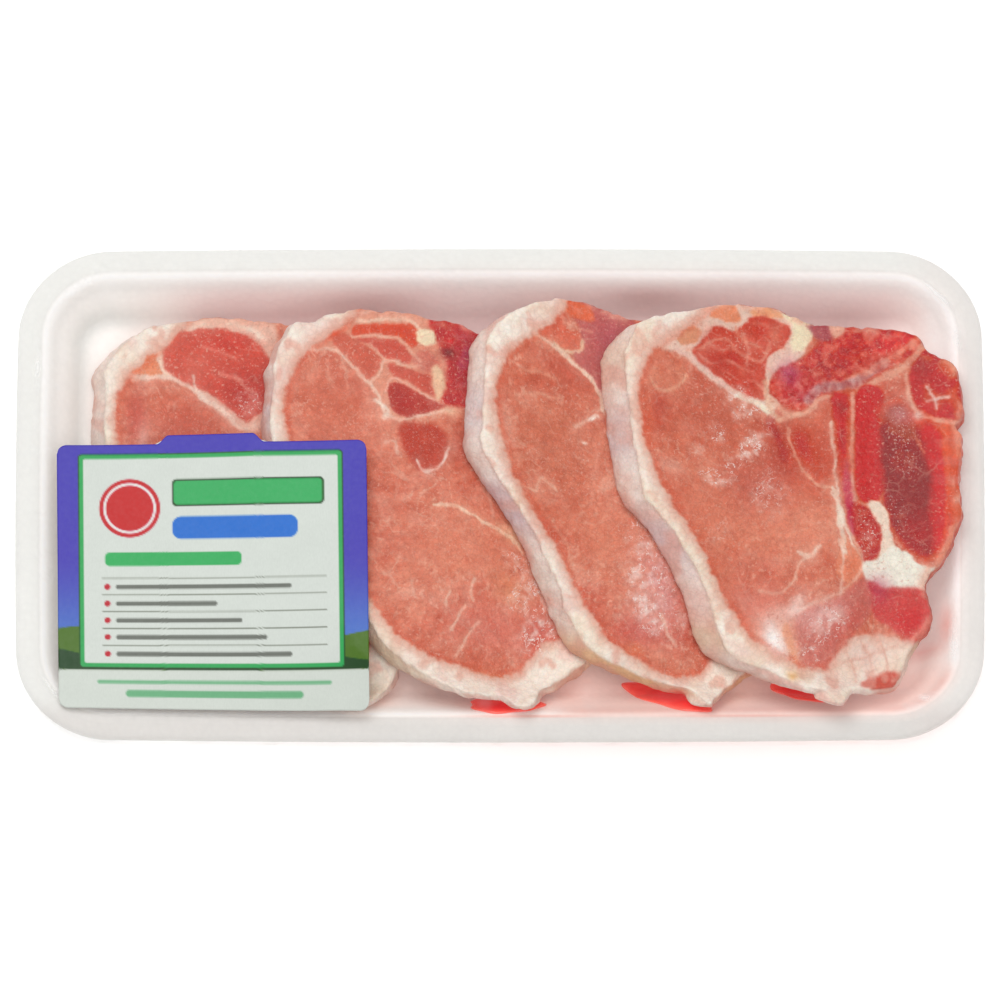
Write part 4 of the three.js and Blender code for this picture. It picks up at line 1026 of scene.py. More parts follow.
def meat_look():
    look = Look("meat")
    lean, wet = look.value("lean"), look.value("wet")
    coarse = look.ranged(look.noise(420.0, 4.0, 0.62), 0.3, 0.7, 0.91, 1.09)
    grain = look.ranged(look.noise(2300.0, 3.0, 0.7), 0.3, 0.7, 0.93, 1.07)
    texture = look.sum(coarse, grain, "MULTIPLY")
    texture = look.node("ShaderNodeMix", {0: lean, 2: 1.0, 3: texture}, data_type="FLOAT").outputs[0]
    lobes = look.cells(520.0, look.bent_place(500.0, 0.001), "DISTANCE_TO_EDGE")
    fatty = look.sum(look.ranged(look.noise(900.0, 4.0, 0.6), 0.3, 0.7, 0.955, 1.045),
                     look.ranged(lobes, 0.0, 0.16, 0.93, 1.015), "MULTIPLY")
    tone = look.scaled(look.tone(), look.sum(texture, fatty, "MULTIPLY"))

    web = look.cells(210.0, look.bent_place(420.0, 0.0016), "DISTANCE_TO_EDGE")
    web = look.sum(look.ranged(web, 0.0, 0.07, 1.0, 0.0),
                   look.ranged(look.noise(150.0, 2.0), 0.5, 0.66, 0.0, 0.22), "MULTIPLY")
    fleck = look.sum(look.ranged(look.noise(1150.0, 2.0, 0.5), 0.58, 0.7, 0.0, 0.5),
                     look.ranged(look.noise(95.0, 2.0), 0.4, 0.65, 0.2, 1.0), "MULTIPLY")
    pale = look.sum(look.sum(web, fleck, "MAXIMUM"), lean, "MULTIPLY")
    tone = look.mixed(pale, tone, (0.80, 0.42, 0.32, 1))
    shade = look.sum(look.ranged(look.noise(800.0, 2.0, 0.5), 0.6, 0.74, 0.0, 0.4), lean, "MULTIPLY")
    tone = look.mixed(shade, tone, (0.50, 0.10, 0.065, 1))

    # Painted glints: curving streaks and tiny specks, set by the glint attributes, mix the colour toward a
    # pale highlight
    ridge = look.sum(look.noise(620.0, 2.0, 0.6), 0.5, "SUBTRACT")
    ridge = look.ranged(look.sum(ridge, 0.0, "ABSOLUTE"), 0.006, 0.03, 1.0, 0.0)
    glint_stroke = look.sum(look.sum(ridge, look.ranged(look.noise(520.0, 2.0), 0.5, 0.56, 0.0, 1.0), "MULTIPLY"),
                      look.value("strokes"), "MULTIPLY")
    glint_dot = look.sum(look.ranged(look.noise(1900.0, 1.0, 0.5), 0.62, 0.7, 0.0, 1.0),
                   look.value("specks"), "MULTIPLY")
    shine = look.sum(glint_stroke, glint_dot, "MAXIMUM")
    tone = look.mixed(shine, tone, (0.95, 0.80, 0.74, 1))

    roughness = look.sum(look.ranged(wet, 0.0, 1.0, 0.5, 0.24),
                         look.ranged(look.noise(700.0), 0.3, 0.7, -0.05, 0.08))
    fine = look.bump(look.noise(1100.0, 4.0, 0.65), 0.5, 0.0006)
    normal = look.bump(look.noise(330.0, 3.0), 0.3, 0.0012, fine)
    return look.principled(
        Base_Color=tone, Roughness=roughness, Normal=normal, Subsurface_Weight=0.1,
        Subsurface_Radius=(1.0, 0.35, 0.22), Subsurface_Scale=0.0016, Specular_IOR_Level=0.3)


def foam_look():
    look = Look("foam")
    beads = look.cells(620.0)
    shade = look.ranged(beads, 0.0, 0.9, 1.012, 0.975)
    cloud = look.ranged(look.noise(90.0, 3.0), 0.3, 0.7, 0.985, 1.015)
    tone = look.scaled(look.tone(), look.sum(shade, cloud, "MULTIPLY"))
    normal = look.bump(beads, 0.25, 0.0003, look.bump(look.noise(60.0, 2.0), 0.12, 0.002))
    # Emission: the foam glows a little everywhere and more where glow is set, painted light that lifts the
    # shade in the tray
    return look.principled(
        Base_Color=tone, Roughness=look.ranged(look.noise(240.0), 0.3, 0.7, 0.5, 0.66), Normal=normal,
        Subsurface_Weight=0.3, Subsurface_Radius=(1.0, 0.97, 0.94), Subsurface_Scale=0.006,
        Specular_IOR_Level=0.3, Emission_Color=(1.0, 0.91, 0.88, 1),
        Emission_Strength=look.ranged(look.value("glow"), 0.0, 1.0, 0.07, 0.24))


def juice_look():
    look = Look("juice")
    depth = look.sum(look.value("deep"), look.ranged(look.noise(75.0, 2.0), 0.4, 0.6, 0.6, 1.0), "MULTIPLY")
    tone = look.mixed(depth, (0.82, 0.16, 0.11, 1), (0.74, 0.012, 0.02, 1))
    tone = look.scaled(tone, look.ranged(look.noise(260.0, 3.0), 0.3, 0.7, 0.9, 1.12))
    normal = look.bump(look.noise(160.0, 2.0), 0.12, 0.001)
    # Emission makes the juice glow red: painted light that keeps it lit in the chops' shade
    return look.principled(
        Base_Color=tone, Roughness=look.ranged(look.noise(500.0), 0.3, 0.7, 0.04, 0.1), Normal=normal,
        Subsurface_Weight=0.3, Subsurface_Radius=(1.0, 0.1, 0.08), Subsurface_Scale=0.003, Coat_Weight=0.3,
        Emission_Color=(0.9, 0.04, 0.04, 1), Emission_Strength=0.3)


def label_look():
    look = Look("label_print")
    fibre = look.ranged(look.noise(2600.0, 3.0, 0.6, (1, 0.35, 1)), 0.3, 0.7, 0.97, 1.03)
    patch = look.ranged(look.noise(120.0, 2.0), 0.3, 0.7, 0.985, 1.015)
    tone = look.scaled(look.tone(), look.sum(fibre, patch, "MULTIPLY"))
    return look.principled(
        Base_Color=tone, Roughness=look.ranged(look.noise(900.0), 0.3, 0.7, 0.36, 0.46),
        Normal=look.bump(look.noise(1800.0, 3.0), 0.06, 0.0002), Specular_IOR_Level=0.25)


def film_look():
    look = Look("film")
    glint = look.value("glint")
    ripple = look.bump(look.noise(45.0, 3.0, 0.5, (1, 1.6, 1)), 0.35, 0.004)
    # The glint share mixes in a white surface: partly real reflection, partly painted white highlight
    gloss = look.node("ShaderNodeBsdfPrincipled", {
        "Base Color": (0.97, 0.97, 0.96, 1), "Roughness": 0.09, "Normal": ripple,
        "Specular IOR Level": 0.6}).outputs[0]
    clear = look.node("ShaderNodeBsdfTransparent", {"Color": (0.995, 0.995, 0.995, 1)}).outputs[0]
    streak = look.ranged(look.noise(120.0, 3.0, 0.6, (0.3, 1.6, 1)), 0.35, 0.7, 0.75, 1.3)
    share = look.sum(glint, streak, "MULTIPLY")
    return look.finish(look.node("ShaderNodeMixShader", {0: share, 1: clear, 2: gloss}).outputs[0])


def floor_look():
    look = Look("studio_floor")
    tone = look.scaled((0.93, 0.93, 0.93), look.ranged(look.noise(3.0, 2.0), 0.3, 0.7, 0.99, 1.01))
    return look.principled(Base_Color=tone, Roughness=0.9, Specular_IOR_Level=0.1,
                           Emission_Color=(1, 1, 1, 1), Emission_Strength=0.35)


# Chops

def side_profile():
    """From the edge of the top face round to the edge of the low face: inset, share of the foot, level."""
    rows = []
    for step in range(1, 6):
        turn = step / 5 * math.pi / 2
        rows.append((1 - math.sin(turn), 0.0, 1 - (1 - SIDE_TOP) * (1 - math.cos(turn))))
    for step in range(1, 10):
        share = step / 9
        rows.append((-0.3 * math.sin(share * math.pi), share, SIDE_TOP - (SIDE_TOP - SIDE_FOOT) * share))
    for step in range(1, 5):
        turn = step / 4 * math.pi / 2
        rows.append((1 - math.cos(turn), 1.0, SIDE_FOOT * (1 - math.sin(turn))))
    return rows


def chop_rings(chop, outline, normal):
    """Rings from the middle of the top face round the side to the middle of the low face.

    Each has its plan, its level from the foot at 0 to the top at 1, and how near the side it is.
    """
    foot = outline.copy()
    foot[:, 0] -= chop["flare"] * np.maximum(0, -normal[:, 0])
    rounding = (EDGE_ROUNDING + 0.4 * smooth(-normal[:, 0]))[:, None]
    top_edge = outline - rounding * normal
    low_edge = foot - rounding * normal
    plans, levels = [], []
    for ring in range(1, TOP_RINGS + 1):
        plans.append(MIDDLE + (top_edge - MIDDLE) * ring / TOP_RINGS)
        levels.append(1.0)
    for inset, foot_share, level in side_profile():
        plans.append(outline * (1 - foot_share) + foot * foot_share - inset * rounding * normal)
        levels.append(level)
    for ring in range(LOW_RINGS, 0, -1):
        share = (ring - 0.5) / LOW_RINGS if ring > 1 else 0.04
        plans.append(MIDDLE + (low_edge - MIDDLE) * share)
        levels.append(0.0)
    side = np.zeros(len(plans))
    side[TOP_RINGS - EDGE_RINGS:TOP_RINGS] = np.linspace(0, 1, EDGE_RINGS) ** 2
    side[TOP_RINGS:TOP_RINGS + len(side_profile())] = 1
    return plans, levels, side


def ragged_edge(plan, normal, levels, side, seed):
    """Lobes and crumbs round the side, weaker along the fat."""
    out = np.tile(normal, (len(plan) // len(normal), 1))
    fatty = np.maximum(0, -out[:, 0])
    du, dv = plan[:, 0] + levels * 4, plan[:, 1] - levels * 5
    rough = 1.4 * (clouds(du, dv, 9, seed + 31) - 0.5) + 1.3 * (clouds(du, dv, 2.8, seed + 33, 2) - 0.5)
    rough = rough + 0.5 * (noise(du, dv, 1.1, seed + 35) - 0.5)
    return plan + out * (side * rough * (0.8 - 0.3 * fatty))[:, None]


def side_colours(index, u, v, levels, depth, lean, seed):
    """Fat and lean as they show down the side of a chop."""
    tone = blend(np.array((244, 222, 211)), smooth((depth - 3.5) / 5), (228, 186, 172))
    for height, reach, colour in SIDE_PATCHES[index]:
        share = -((v - height + 3 * levels) / reach) ** 2
        share = np.exp(share + 0.8 * (clouds(u + 3 * levels, v, 5, seed + 41) - 0.6))
        tone = blend(tone, np.clip(share, 0, 0.75), colour)
    tone = tone + (clouds(u, v + 6 * levels, 2.2, seed + 43)[:, None] - 0.5) * np.array([20, 34, 34])
    tone = blend(tone, smooth(clouds(u, v + 5 * levels, 7, seed + 47, 2) * 4 - 1.9) * 0.5, (226, 158, 142))
    streaks = clouds(u, v + 6 * levels, 3, seed + 45)[:, None] - 0.5
    meat = np.array((206, 98, 82)) + streaks * np.array([36, 50, 46])
    meat = meat - smooth((depth - 3) / 4)[:, None] * np.array((22, 26, 22))
    return tone * (1 - lean[:, None]) + meat * lean[:, None]


def make_chop(index, material):
    chop = CHOPS[index]
    seed = 100 * (index + 1)
    outline = chop_outline(chop)
    normal = outward(outline)
    for u, v, radius, push in NICKS[index]:
        away = np.hypot(outline[:, 0] - u, outline[:, 1] - v) / radius
        outline = outline + normal * (push * np.exp(-away ** 2))[:, None]
    plans, levels, side = chop_rings(chop, outline, normal)
    rings = len(plans)
    levels = np.repeat(levels, OUTLINE_STEPS)
    side = np.repeat(side, OUTLINE_STEPS)
    plan = ragged_edge(np.vstack(plans), normal, levels, side, seed)
    points = np.vstack([plan, MIDDLE, MIDDLE])
    levels = np.concatenate([levels, [1.0, 0.0]])
    side = np.concatenate([side, [0.0, 0.0]])
    u, v = points[:, 0], points[:, 1]
    x, y = u + chop["shift"], v + FOOD_SHIFT
    low, thick = chop_low(index, x, y), chop_thickness(x, y)

    face = Face(u, v, seed)
    fat = depth_inside(face.u, face.v, fat_edge(chop))
    paint_shared(face, seed)
    PAINTERS[index](face)
    face.tone += CONTRAST * (face.tone - np.array(CONTRAST_MIDDLE))
    paint_fat(face, fat, seed)
    if index == 3:
        paint_over_fat_4(face)
    lean = smooth(0.5 - fat)
    depth = (1 - levels) * thick
    down = smooth((depth - 0.3) / 1.6)
    tone = blend(face.tone, down * 0.9, side_colours(index, u, v, levels, depth, lean, seed))
    skin = np.clip(side, 0, 1) ** 3 * (1 - down) * lean * smooth(clouds(u, v, 4, seed + 49, 2) * 4 - 1.3)
    tone = blend(tone, 0.6 * skin, (240, 176, 154))

    top = np.where(levels >= 0.999, 1.0, 0.0) * (1 - side)
    swell = 0.5 * (clouds(u, v, 16, seed + 51, 2) - 0.55) + 0.26 * (clouds(u, v, 4.5, seed + 53, 2) - 0.55)
    crumb = 0.16 * (noise(u, v, 1.1, seed + 55) - 0.8)
    lumps = 0.5 * (clouds(u, v, 2.6, seed + 57, 2) - 0.5) * side * (levels > 0.5)
    z = low + levels * thick + top * (np.minimum(face.lift, 0.25) + swell + crumb) + lumps

    quads = grid_quads(rings, OUTLINE_STEPS, wrap=True)[:, ::-1]
    name = chop["name"]
    mesh = make_mesh(name, np.column_stack([x, y, z]), quads, caps(rings, OUTLINE_STEPS))
    add_tone(mesh, tone, MEAT_SHINE)
    add_value(mesh, "lean", lean)
    add_value(mesh, "wet", face.wet)
    on_top = 1 - np.clip(down, 0, 1)
    add_value(mesh, "strokes", face.strokes * on_top)
    add_value(mesh, "specks", face.specks * on_top)
    return add_piece(f"{name}_cut", mesh, material, [f"{name}_lean", f"{name}_fat", f"{name}_bone"])


# Tray

def tray_plan():
    """The tray's outline as points of a rounded rectangle with the outward direction at each."""
    straight_x, straight_y = HALF_LENGTH - CORNER_RADIUS, HALF_WIDTH - CORNER_RADIUS
    places, ways = [], []
    centres = [(straight_x, -straight_y), (straight_x, straight_y),
               (-straight_x, straight_y), (-straight_x, -straight_y)]
    for corner, (cx, cy) in enumerate(centres):
        angles = (corner - 1 + np.linspace(0, 1, 25)) * math.pi / 2
        way = np.stack([np.cos(angles), np.sin(angles)], 1)
        place = np.array([cx, cy]) + CORNER_RADIUS * way
        following = np.array(centres[(corner + 1) % 4]) + CORNER_RADIUS * way[-1]
        count = int(np.linalg.norm(following - place[-1]) / 3)
        share = np.arange(1, count)[:, None] / count
        places += [place, place[-1] + (following - place[-1]) * share]
        ways += [way, np.repeat(way[-1:], count - 1, 0)]
    return np.vstack(places), np.vstack(ways)


def rounded(profile, passes=3):
    """Cuts the corners of an open profile."""
    path = np.array(profile, float)
    for _ in range(passes):
        near, far = path[:-1] * 0.75 + path[1:] * 0.25, path[:-1] * 0.25 + path[1:] * 0.75
        path = np.vstack([path[:1], np.stack([near, far], 1).reshape(-1, 2), path[-1:]])
    return path


def tray_tone(x, y, z, nearest):
    """Foam white, with painted shade and highlights on the rim and walls, juice stains, and painted
    reflections of the meat.
    """
    inset = inset_at(x, y)
    inside = smooth((inset - 6.0) / 1.6) * (z > 3.9)
    # Painted shade: the rim darker towards the front and the outer lip darker still; the right end a little
    # darker and pinker
    rim = np.array((228, 228, 224.0)) - smooth((-y - 60) / 8)[:, None] * np.array((12, 15, 15))
    rim = rim - (smooth((-y - 70) / 2) * smooth((15.5 - z) / 1.5))[:, None] * np.array((12, 9, 6))
    rim = rim - smooth((x - 110) / 16)[:, None] * np.array((2, 6, 6))
    # Painted light: the foam inside the wall is painted lighter than the rim, to lift the shade that falls
    # in the tray
    tone = blend(rim, inside, (247, 246, 243))
    shade = np.exp(-((inset - 17.5) / 3.2) ** 2) * smooth((-x - 40) / 40) * (z > 3.9)
    tone -= shade[:, None] * np.array((30, 27, 27))
    # Painted highlight along the inner edge of the rim, and a painted shade line just inside it
    rim_highlight = np.exp(-((inset - 8.0) / 0.9) ** 2) * (z > 10)
    tone += rim_highlight[:, None] * 8 - np.exp(-((inset - 10.6) / 1.2) ** 2)[:, None] * (z > 6)[:, None] * 7
    low = smooth((16.2 - z) / 6)
    # Pink near the meat, low in the tray: juice stain and painted reflection of the meat
    close = np.exp(-np.maximum(nearest, 0) / 9) * low * (0.25 + 0.75 * smooth((x + 120) / 60))
    close = close * (1 - 0.8 * smooth((x - 117) / 6))
    tone = blend(tone, np.clip(close * (0.75 + 0.5 * clouds(x, y, 14, 3)), 0, 1) * 0.42, (244, 190, 174))
    # Painted shade and reflection of the meat on the front inner shoulder of the rim
    shoulder = np.exp(-((inset - 9.2) / 2.2) ** 2) * smooth((-y - 48) / 8) * smooth((x - 8) / 16)
    tone = blend(tone, shoulder * 0.5, (226, 158, 144))
    # Pink on the front floor: juice and painted reflection of the meat
    tone = blend(tone, smooth((-y - 44) / 10) * low * smooth((x + 20) / 30) * 0.35, (232, 168, 154))
    # Painted shade on the back wall, pink from the meat beside it
    back = smooth((y - 20) / 30) * low * smooth((x + 110) / 40) * smooth((126 - x) / 20) * 0.4
    tone = blend(tone, back * 0.6, (206, 160, 158))
    # Painted shadow along the back wall behind the chops, uneven along its length
    uneven = 0.5 + 0.5 * smooth((clouds(x, y, 40, 15, 2) - 0.35) * 4)
    shadow_wedge = np.exp(-((y - 54) / 4.5) ** 2) * low * uneven
    shadow_wedge = shadow_wedge * smooth((x + 90) / 30) * smooth((118 - x) / 20)
    tone = blend(tone, shadow_wedge * 0.4, (180, 128, 124))
    for centre, radii, strength in BACK_SHADES:
        along, across = oval(x, y, centre, radii)
        tone = blend(tone, np.exp(-along ** 2 - across ** 2) * strength * low, (158, 102, 96))
    for centre, radii in JUICE_STREAKS:
        along, across = oval(x, y, centre, radii)
        tone = blend(tone, np.exp(-along ** 2 - across ** 2) * 0.55 * inside, (222, 128, 110))
    right = smooth((x - 60) / 50) * smooth((-y - 5) / 30) * low * 0.12
    return blend(tone, right, (240, 196, 180))


def tray_glow(x, y, z, nearest):
    """Share of painted glow in the foam, standing in for light that reaches it through the meat beside it.
    """
    right = 0.12 + 0.7 * smooth((x - 90) / 20)
    return np.exp(-np.maximum(nearest - 1, 0) / 6) * (z > 4.5) * (inset_at(x, y) > 6) * right


def tray_ring(plan, height):
    return np.column_stack([*bowed(plan[:, 0], plan[:, 1]), np.full(len(plan), height)])


def make_tray(material):
    places, ways = tray_plan()
    profile = np.vstack([rounded(INNER_WALL)[::-1], rounded([TRAY_CREST] + OUTER_WALL)])
    floor, base = places - FLOOR_INSET * ways, places - BASE_INSET * ways
    rings = [tray_ring(floor * share, FLOOR) for share in np.linspace(0.02, 0.98, 40)]
    rings += [tray_ring(places - inset * ways, z) for inset, z in profile]
    rings += [tray_ring(base * share, 0) for share in np.linspace(0.97, 0.03, 14)]
    points = np.vstack(rings + [[(0, 0, FLOOR), (0, 0, 0)]])
    points[:, 2] += TRAY_BASE
    inside = inset_at(points[:, 0], points[:, 1]) > 6
    dents = 0.25 * (clouds(points[:, 0], points[:, 1], 26, 5, 2) - 0.5)
    points[:, 2] += np.where(inside & (points[:, 2] > TRAY_BASE + 3.5), dents, 0)
    quads = grid_quads(len(rings), len(places), wrap=True)[:, ::-1]
    mesh = make_mesh("tray", points, quads, caps(len(rings), len(places)))
    nearest = meat_distance(points[:, 0], points[:, 1])
    add_tone(mesh, tray_tone(*points.T, nearest))
    add_value(mesh, "glow", tray_glow(*points.T, nearest))
    return add_piece("tray_foam", mesh, material, ["tray"])


# Juice

def meat_above(x, y):
    """Height of the lowest face of meat over a place."""
    ceiling = np.full(np.shape(x), 1e3)
    for index, chop in enumerate(CHOPS):
        plan = chop_outline(chop, 120)
        plan[:, 0] += chop["shift"] - chop["flare"] * np.maximum(0, -outward(plan, 1)[:, 0])
        plan[:, 1] += FOOD_SHIFT
        over = contains(x, y, plan)
        ceiling = np.where(over, np.minimum(ceiling, chop_low(index, x, y)), ceiling)
    return ceiling


def make_pool(name, x, y, length, width, turn, material):
    """A thin pool that follows the tray and stays under the meat."""
    count, rings = 120, 16
    angle = np.arange(count) / count * math.tau
    wave = 1 + 0.07 * np.sin(3 * angle + x) + 0.04 * np.sin(7 * angle + y)

    def ring(share, height):
        along, across = share * length * wave * np.cos(angle), share * width * wave * np.sin(angle)
        px = x + along * math.cos(turn) - across * math.sin(turn)
        py = y + along * math.sin(turn) + across * math.cos(turn)
        z = np.minimum(wall_height(inset_at(px, py)) + height, meat_above(px, py) - 0.2)
        return np.column_stack([px, py, z])

    rows, deep = [], []
    for step in range(1, rings + 1):
        share = step / rings
        rows.append(ring(share, 0.12 + 0.95 * (1 - share ** 4) ** 0.5))
        deep.append(np.full(count, 1 - share ** 3))
    for share in (0.9, 0.5, 0.1):
        rows.append(ring(share, 0.08))
        deep.append(np.ones(count))
    top, low = rows[0].mean(0), rows[-1].mean(0)
    points = np.vstack(rows + [[top, low]])
    quads = grid_quads(len(rows), count, wrap=True)[:, ::-1]
    mesh = make_mesh(name, points, quads, caps(len(rows), count))
    add_value(mesh, "deep", np.concatenate(deep + [[1.0, 1.0]]))
    return add_piece(f"{name}_drop", mesh, material, [name])


# Film

def film_half_width(x):
    radius = CORNER_RADIUS - FILM_INSET
    beyond = np.maximum(0, np.abs(x) - (HALF_LENGTH - CORNER_RADIUS))
    return HALF_WIDTH - CORNER_RADIUS + np.sqrt(np.maximum(0, radius ** 2 - beyond ** 2))


def film_columns():
    radius, straight = CORNER_RADIUS - FILM_INSET, HALF_LENGTH - CORNER_RADIUS
    corner = straight + radius * np.sin(np.linspace(0, 1, 17)[1:] * math.pi / 2)
    middle = straight * np.linspace(-1, 1, FILM_COLUMNS + 1)
    return np.concatenate([-corner[::-1], middle, corner])


def widest(values):
    """The highest of each value and its eight neighbours."""
    padded = np.pad(values, 1, mode="edge")
    rows, columns = values.shape
    return np.max([padded[i:i + rows, j:j + columns] for i in range(3) for j in range(3)], 0)


def relax_film():
    """Film pulled taut over the meat and the rim, as a grid of heights."""
    columns = film_columns()
    rows = np.linspace(-1, 1, FILM_ROWS + 1)
    x = np.repeat(columns[:, None], FILM_ROWS + 1, 1)
    y = film_half_width(x) * rows[None, :]
    bx, by = bowed(x, y)
    top = wall_height(inset_at(bx, by))
    for index, chop in enumerate(CHOPS):
        outline = chop_outline(chop, 140)
        normal = outward(outline, 1)
        outline[:, 0] -= chop["flare"] * np.maximum(0, -normal[:, 0])
        outline = outline + 0.8 * normal + np.array([chop["shift"], FOOD_SHIFT])
        inside = contains(bx, by, outline)
        top = np.where(inside, np.maximum(top, chop_low(index, bx, by) + chop_thickness(bx, by)), top)
    under = widest(top) + 0.5
    heights = under.copy()
    edges = np.ones(heights.shape, bool)
    edges[1:-1, 1:-1] = False
    rim = TRAY_BASE + RIM_TOP + 0.75
    for step in (4, 2, 1):
        for _ in range(FILM_PASSES):
            heights[edges] = rim
            spread = (np.roll(heights, step, 0) + np.roll(heights, -step, 0)
                      + np.roll(heights, step, 1) + np.roll(heights, -step, 1)) / 4
            spread[:step], spread[-step:] = heights[:step], heights[-step:]
            spread[:, :step], spread[:, -step:] = heights[:, :step], heights[:, -step:]
            heights = np.maximum(under, spread)
    heights[edges] = rim
    return columns, bx, by, heights


def film_height_at(film, x, y):
    columns, _, _, heights = film
    i = np.interp(x, columns, np.arange(len(columns)))
    j = np.clip((y / film_half_width(x) + 1) / 2 * FILM_ROWS, 0, FILM_ROWS - 1e-6)
    i0, j0 = np.clip(np.floor(i).astype(int), 0, len(columns) - 2), np.floor(j).astype(int)
    fi, fj = i - i0, j - j0
    near = heights[i0, j0] * (1 - fi) + heights[i0 + 1, j0] * fi
    far = heights[i0, j0 + 1] * (1 - fi) + heights[i0 + 1, j0 + 1] * fi
    return near * (1 - fj) + far * fj


def film_side(place):
    """Rings of film down the tray's side and in under it, with how much each point shines."""
    straight = np.array([HALF_LENGTH, HALF_WIDTH]) - CORNER_RADIUS
    beyond = np.maximum(np.abs(place) - straight, 0) * np.sign(place)
    way = beyond / np.maximum(np.linalg.norm(beyond, axis=1), 1e-6)[:, None]
    outline = place + FILM_INSET * way
    around = np.arctan2(place[:, 1] * ANGLE_STRETCH, place[:, 0])
    pleats = np.sin(around * 60 + 2 * np.sin(around * 7))
    crest = 0.12 * (0.5 + 0.5 * pleats) ** 3
    rings, glints = [], []
    for inset, height in FILM_SIDE:
        crease = 0.35 * smooth((12 - height) / 8) * pleats * (height > 1)
        rings.append(tray_ring(outline - (inset + crease)[:, None] * way, height))
        glints.append((0.05 if height > 11 else 0.1) + crest * (height < 14))
    start = outline - FILM_UNDER_INSET * way
    end = place * np.array([0.5, 0.06])
    for inset in FILM_UNDER:
        share = (inset - FILM_UNDER_INSET) / (FILM_UNDER[-1] - FILM_UNDER_INSET)
        ring = tray_ring(start + (end - start) * share, FILM_UNDER_HEIGHT)
        ring[:, 2] += 0.25 * noise(ring[:, 0], ring[:, 1], 4, 61)
        rings.append(ring)
        glints.append(0.1 + crest)
    return rings, glints


def make_film(film, material):
    columns, x, y, heights = film
    inset = inset_at(x, y)
    angle = np.arctan2(y * ANGLE_STRETCH, x)
    fade = smooth((inset - 1.7) / 6) * smooth((34 - inset) / 20)
    wrinkle = 0.16 * np.sin(angle * 74 + 3 * clouds(x, y, 30, 7)) * smooth(clouds(x, y, 28, 9) * 4 - 1.8)
    z = heights + np.maximum(fade * wrinkle, -0.15)
    sheet = np.column_stack([x.ravel(), y.ravel(), z.ravel()])
    edge = around_edge(np.arange(heights.size).reshape(heights.shape))
    flat_x = columns[:, None] + 0 * heights
    flat_y = film_half_width(columns)[:, None] * np.linspace(-1, 1, heights.shape[1])
    rings, glints = film_side(np.column_stack([flat_x.ravel()[edge], flat_y.ravel()[edge]]))
    quads = [grid_quads(*heights.shape)[:, ::-1]]
    previous = edge
    for ring in range(len(rings)):
        current = len(sheet) + ring * len(edge) + np.arange(len(edge))
        quads.append(band(previous, current))
        previous = current
    mesh = make_mesh("film", np.vstack([sheet] + rings), np.vstack(quads))
    top_glint = 0.01 + 0.05 * smooth((8 - inset) / 7) * smooth(clouds(x, y, 22, 63, 2) * 4 - 1.7)
    top_glint = top_glint + 0.05 * fade * smooth(wrinkle * 9) * smooth((18 - inset) / 10)
    for px, py, length, width, turn in GLARES:
        along, across = oval(x, y, (px, py), (length, width), turn)
        top_glint = top_glint + 0.55 * np.exp(-along ** 2 - across ** 2) * (0.5 + noise(x, y, 3, 65))
    add_value(mesh, "glint", np.concatenate([top_glint.ravel()] + glints))
    return add_piece("film_wrap", mesh, material, ["film"])


# Label

def box_depth(u, v, left, right, low, high, corner):
    """Depth inside a rounded box, negative outside it."""
    half_u, half_v = (right - left) / 2 - corner, (high - low) / 2 - corner
    du, dv = np.abs(u - (left + right) / 2) - half_u, np.abs(v - (low + high) / 2) - half_v
    return corner - np.hypot(np.maximum(du, 0), np.maximum(dv, 0)) - np.minimum(np.maximum(du, dv), 0)


def label_tone(u, v):
    """Print in the label's own millimetres, from its front left corner."""
    tone = np.tile(np.array((98, 92, 186), float), (len(u), 1))

    def lay(depth, colour, strength=1.0):
        share = smooth(0.5 + depth / 0.4)[:, None] * strength
        tone[:] = tone + share * (np.array(colour, float) - tone)

    paler = smooth((46 - v) / 30)[:, None]
    tone += paler * 0.75 * (np.array((104, 150, 214)) - tone)
    lay(21 + 3.2 * np.sin(u / 15 + 0.8) - v, (103, 131, 58))
    lay(16 + 2.6 * np.sin(u / 11 + 2.6) - v, (69, 98, 47))
    lay(box_depth(u, v, 5.9, 80.9, 11.7, 74.8, 1.2), (42, 96, 70))
    lay(box_depth(u, v, 6.2, 80.6, 12.0, 74.5, 1.0), (84, 176, 110))
    lay(box_depth(u, v, 7.4, 79.4, 13.2, 73.3, 0.6), (219, 225, 218))
    # plain seal, bars and rules on the panel
    seal = np.hypot(u - 20.5, v - 58.6)
    lay(8.6 - seal, (204, 42, 72))
    lay(7.5 - seal, (236, 232, 228))
    lay(6.7 - seal, (206, 44, 74))
    lay(box_depth(u, v, 32.5, 75.5, 59, 67, 1.4), (58, 92, 60))
    lay(box_depth(u, v, 33.0, 75.0, 59.5, 66.5, 1.1), (88, 182, 116))
    lay(box_depth(u, v, 32.5, 68, 49.4, 56, 2.6), (60, 128, 212))
    lay(box_depth(u, v, 13.4, 52, 41.6, 45.6, 1.4), (86, 182, 114))
    for row in range(5):
        height = 38 - row * 4.9
        lay(box_depth(u, v, 12.6, 76, height - 0.12, height + 0.12, 0.05), (120, 124, 112))
        bar_end = 66 - 7 * ((row * 3) % 4)
        lay(box_depth(u, v, 16.4, bar_end, height - 3.2, height - 1.9, 0.6), (96, 98, 92), 0.75)
        lay(0.85 - np.hypot(u - 14, v - (height - 2.5)), (198, 70, 84))
    lay(box_depth(u, v, -5, 95, -5, 11.2, 0.1), (217, 223, 215))
    lay(box_depth(u, v, 11, 77, 7.2, 8.3, 0.5), (122, 184, 140), 0.85)
    lay(box_depth(u, v, 19, 69, 3.4, 5.4, 0.9), (110, 178, 130), 0.85)
    return tone


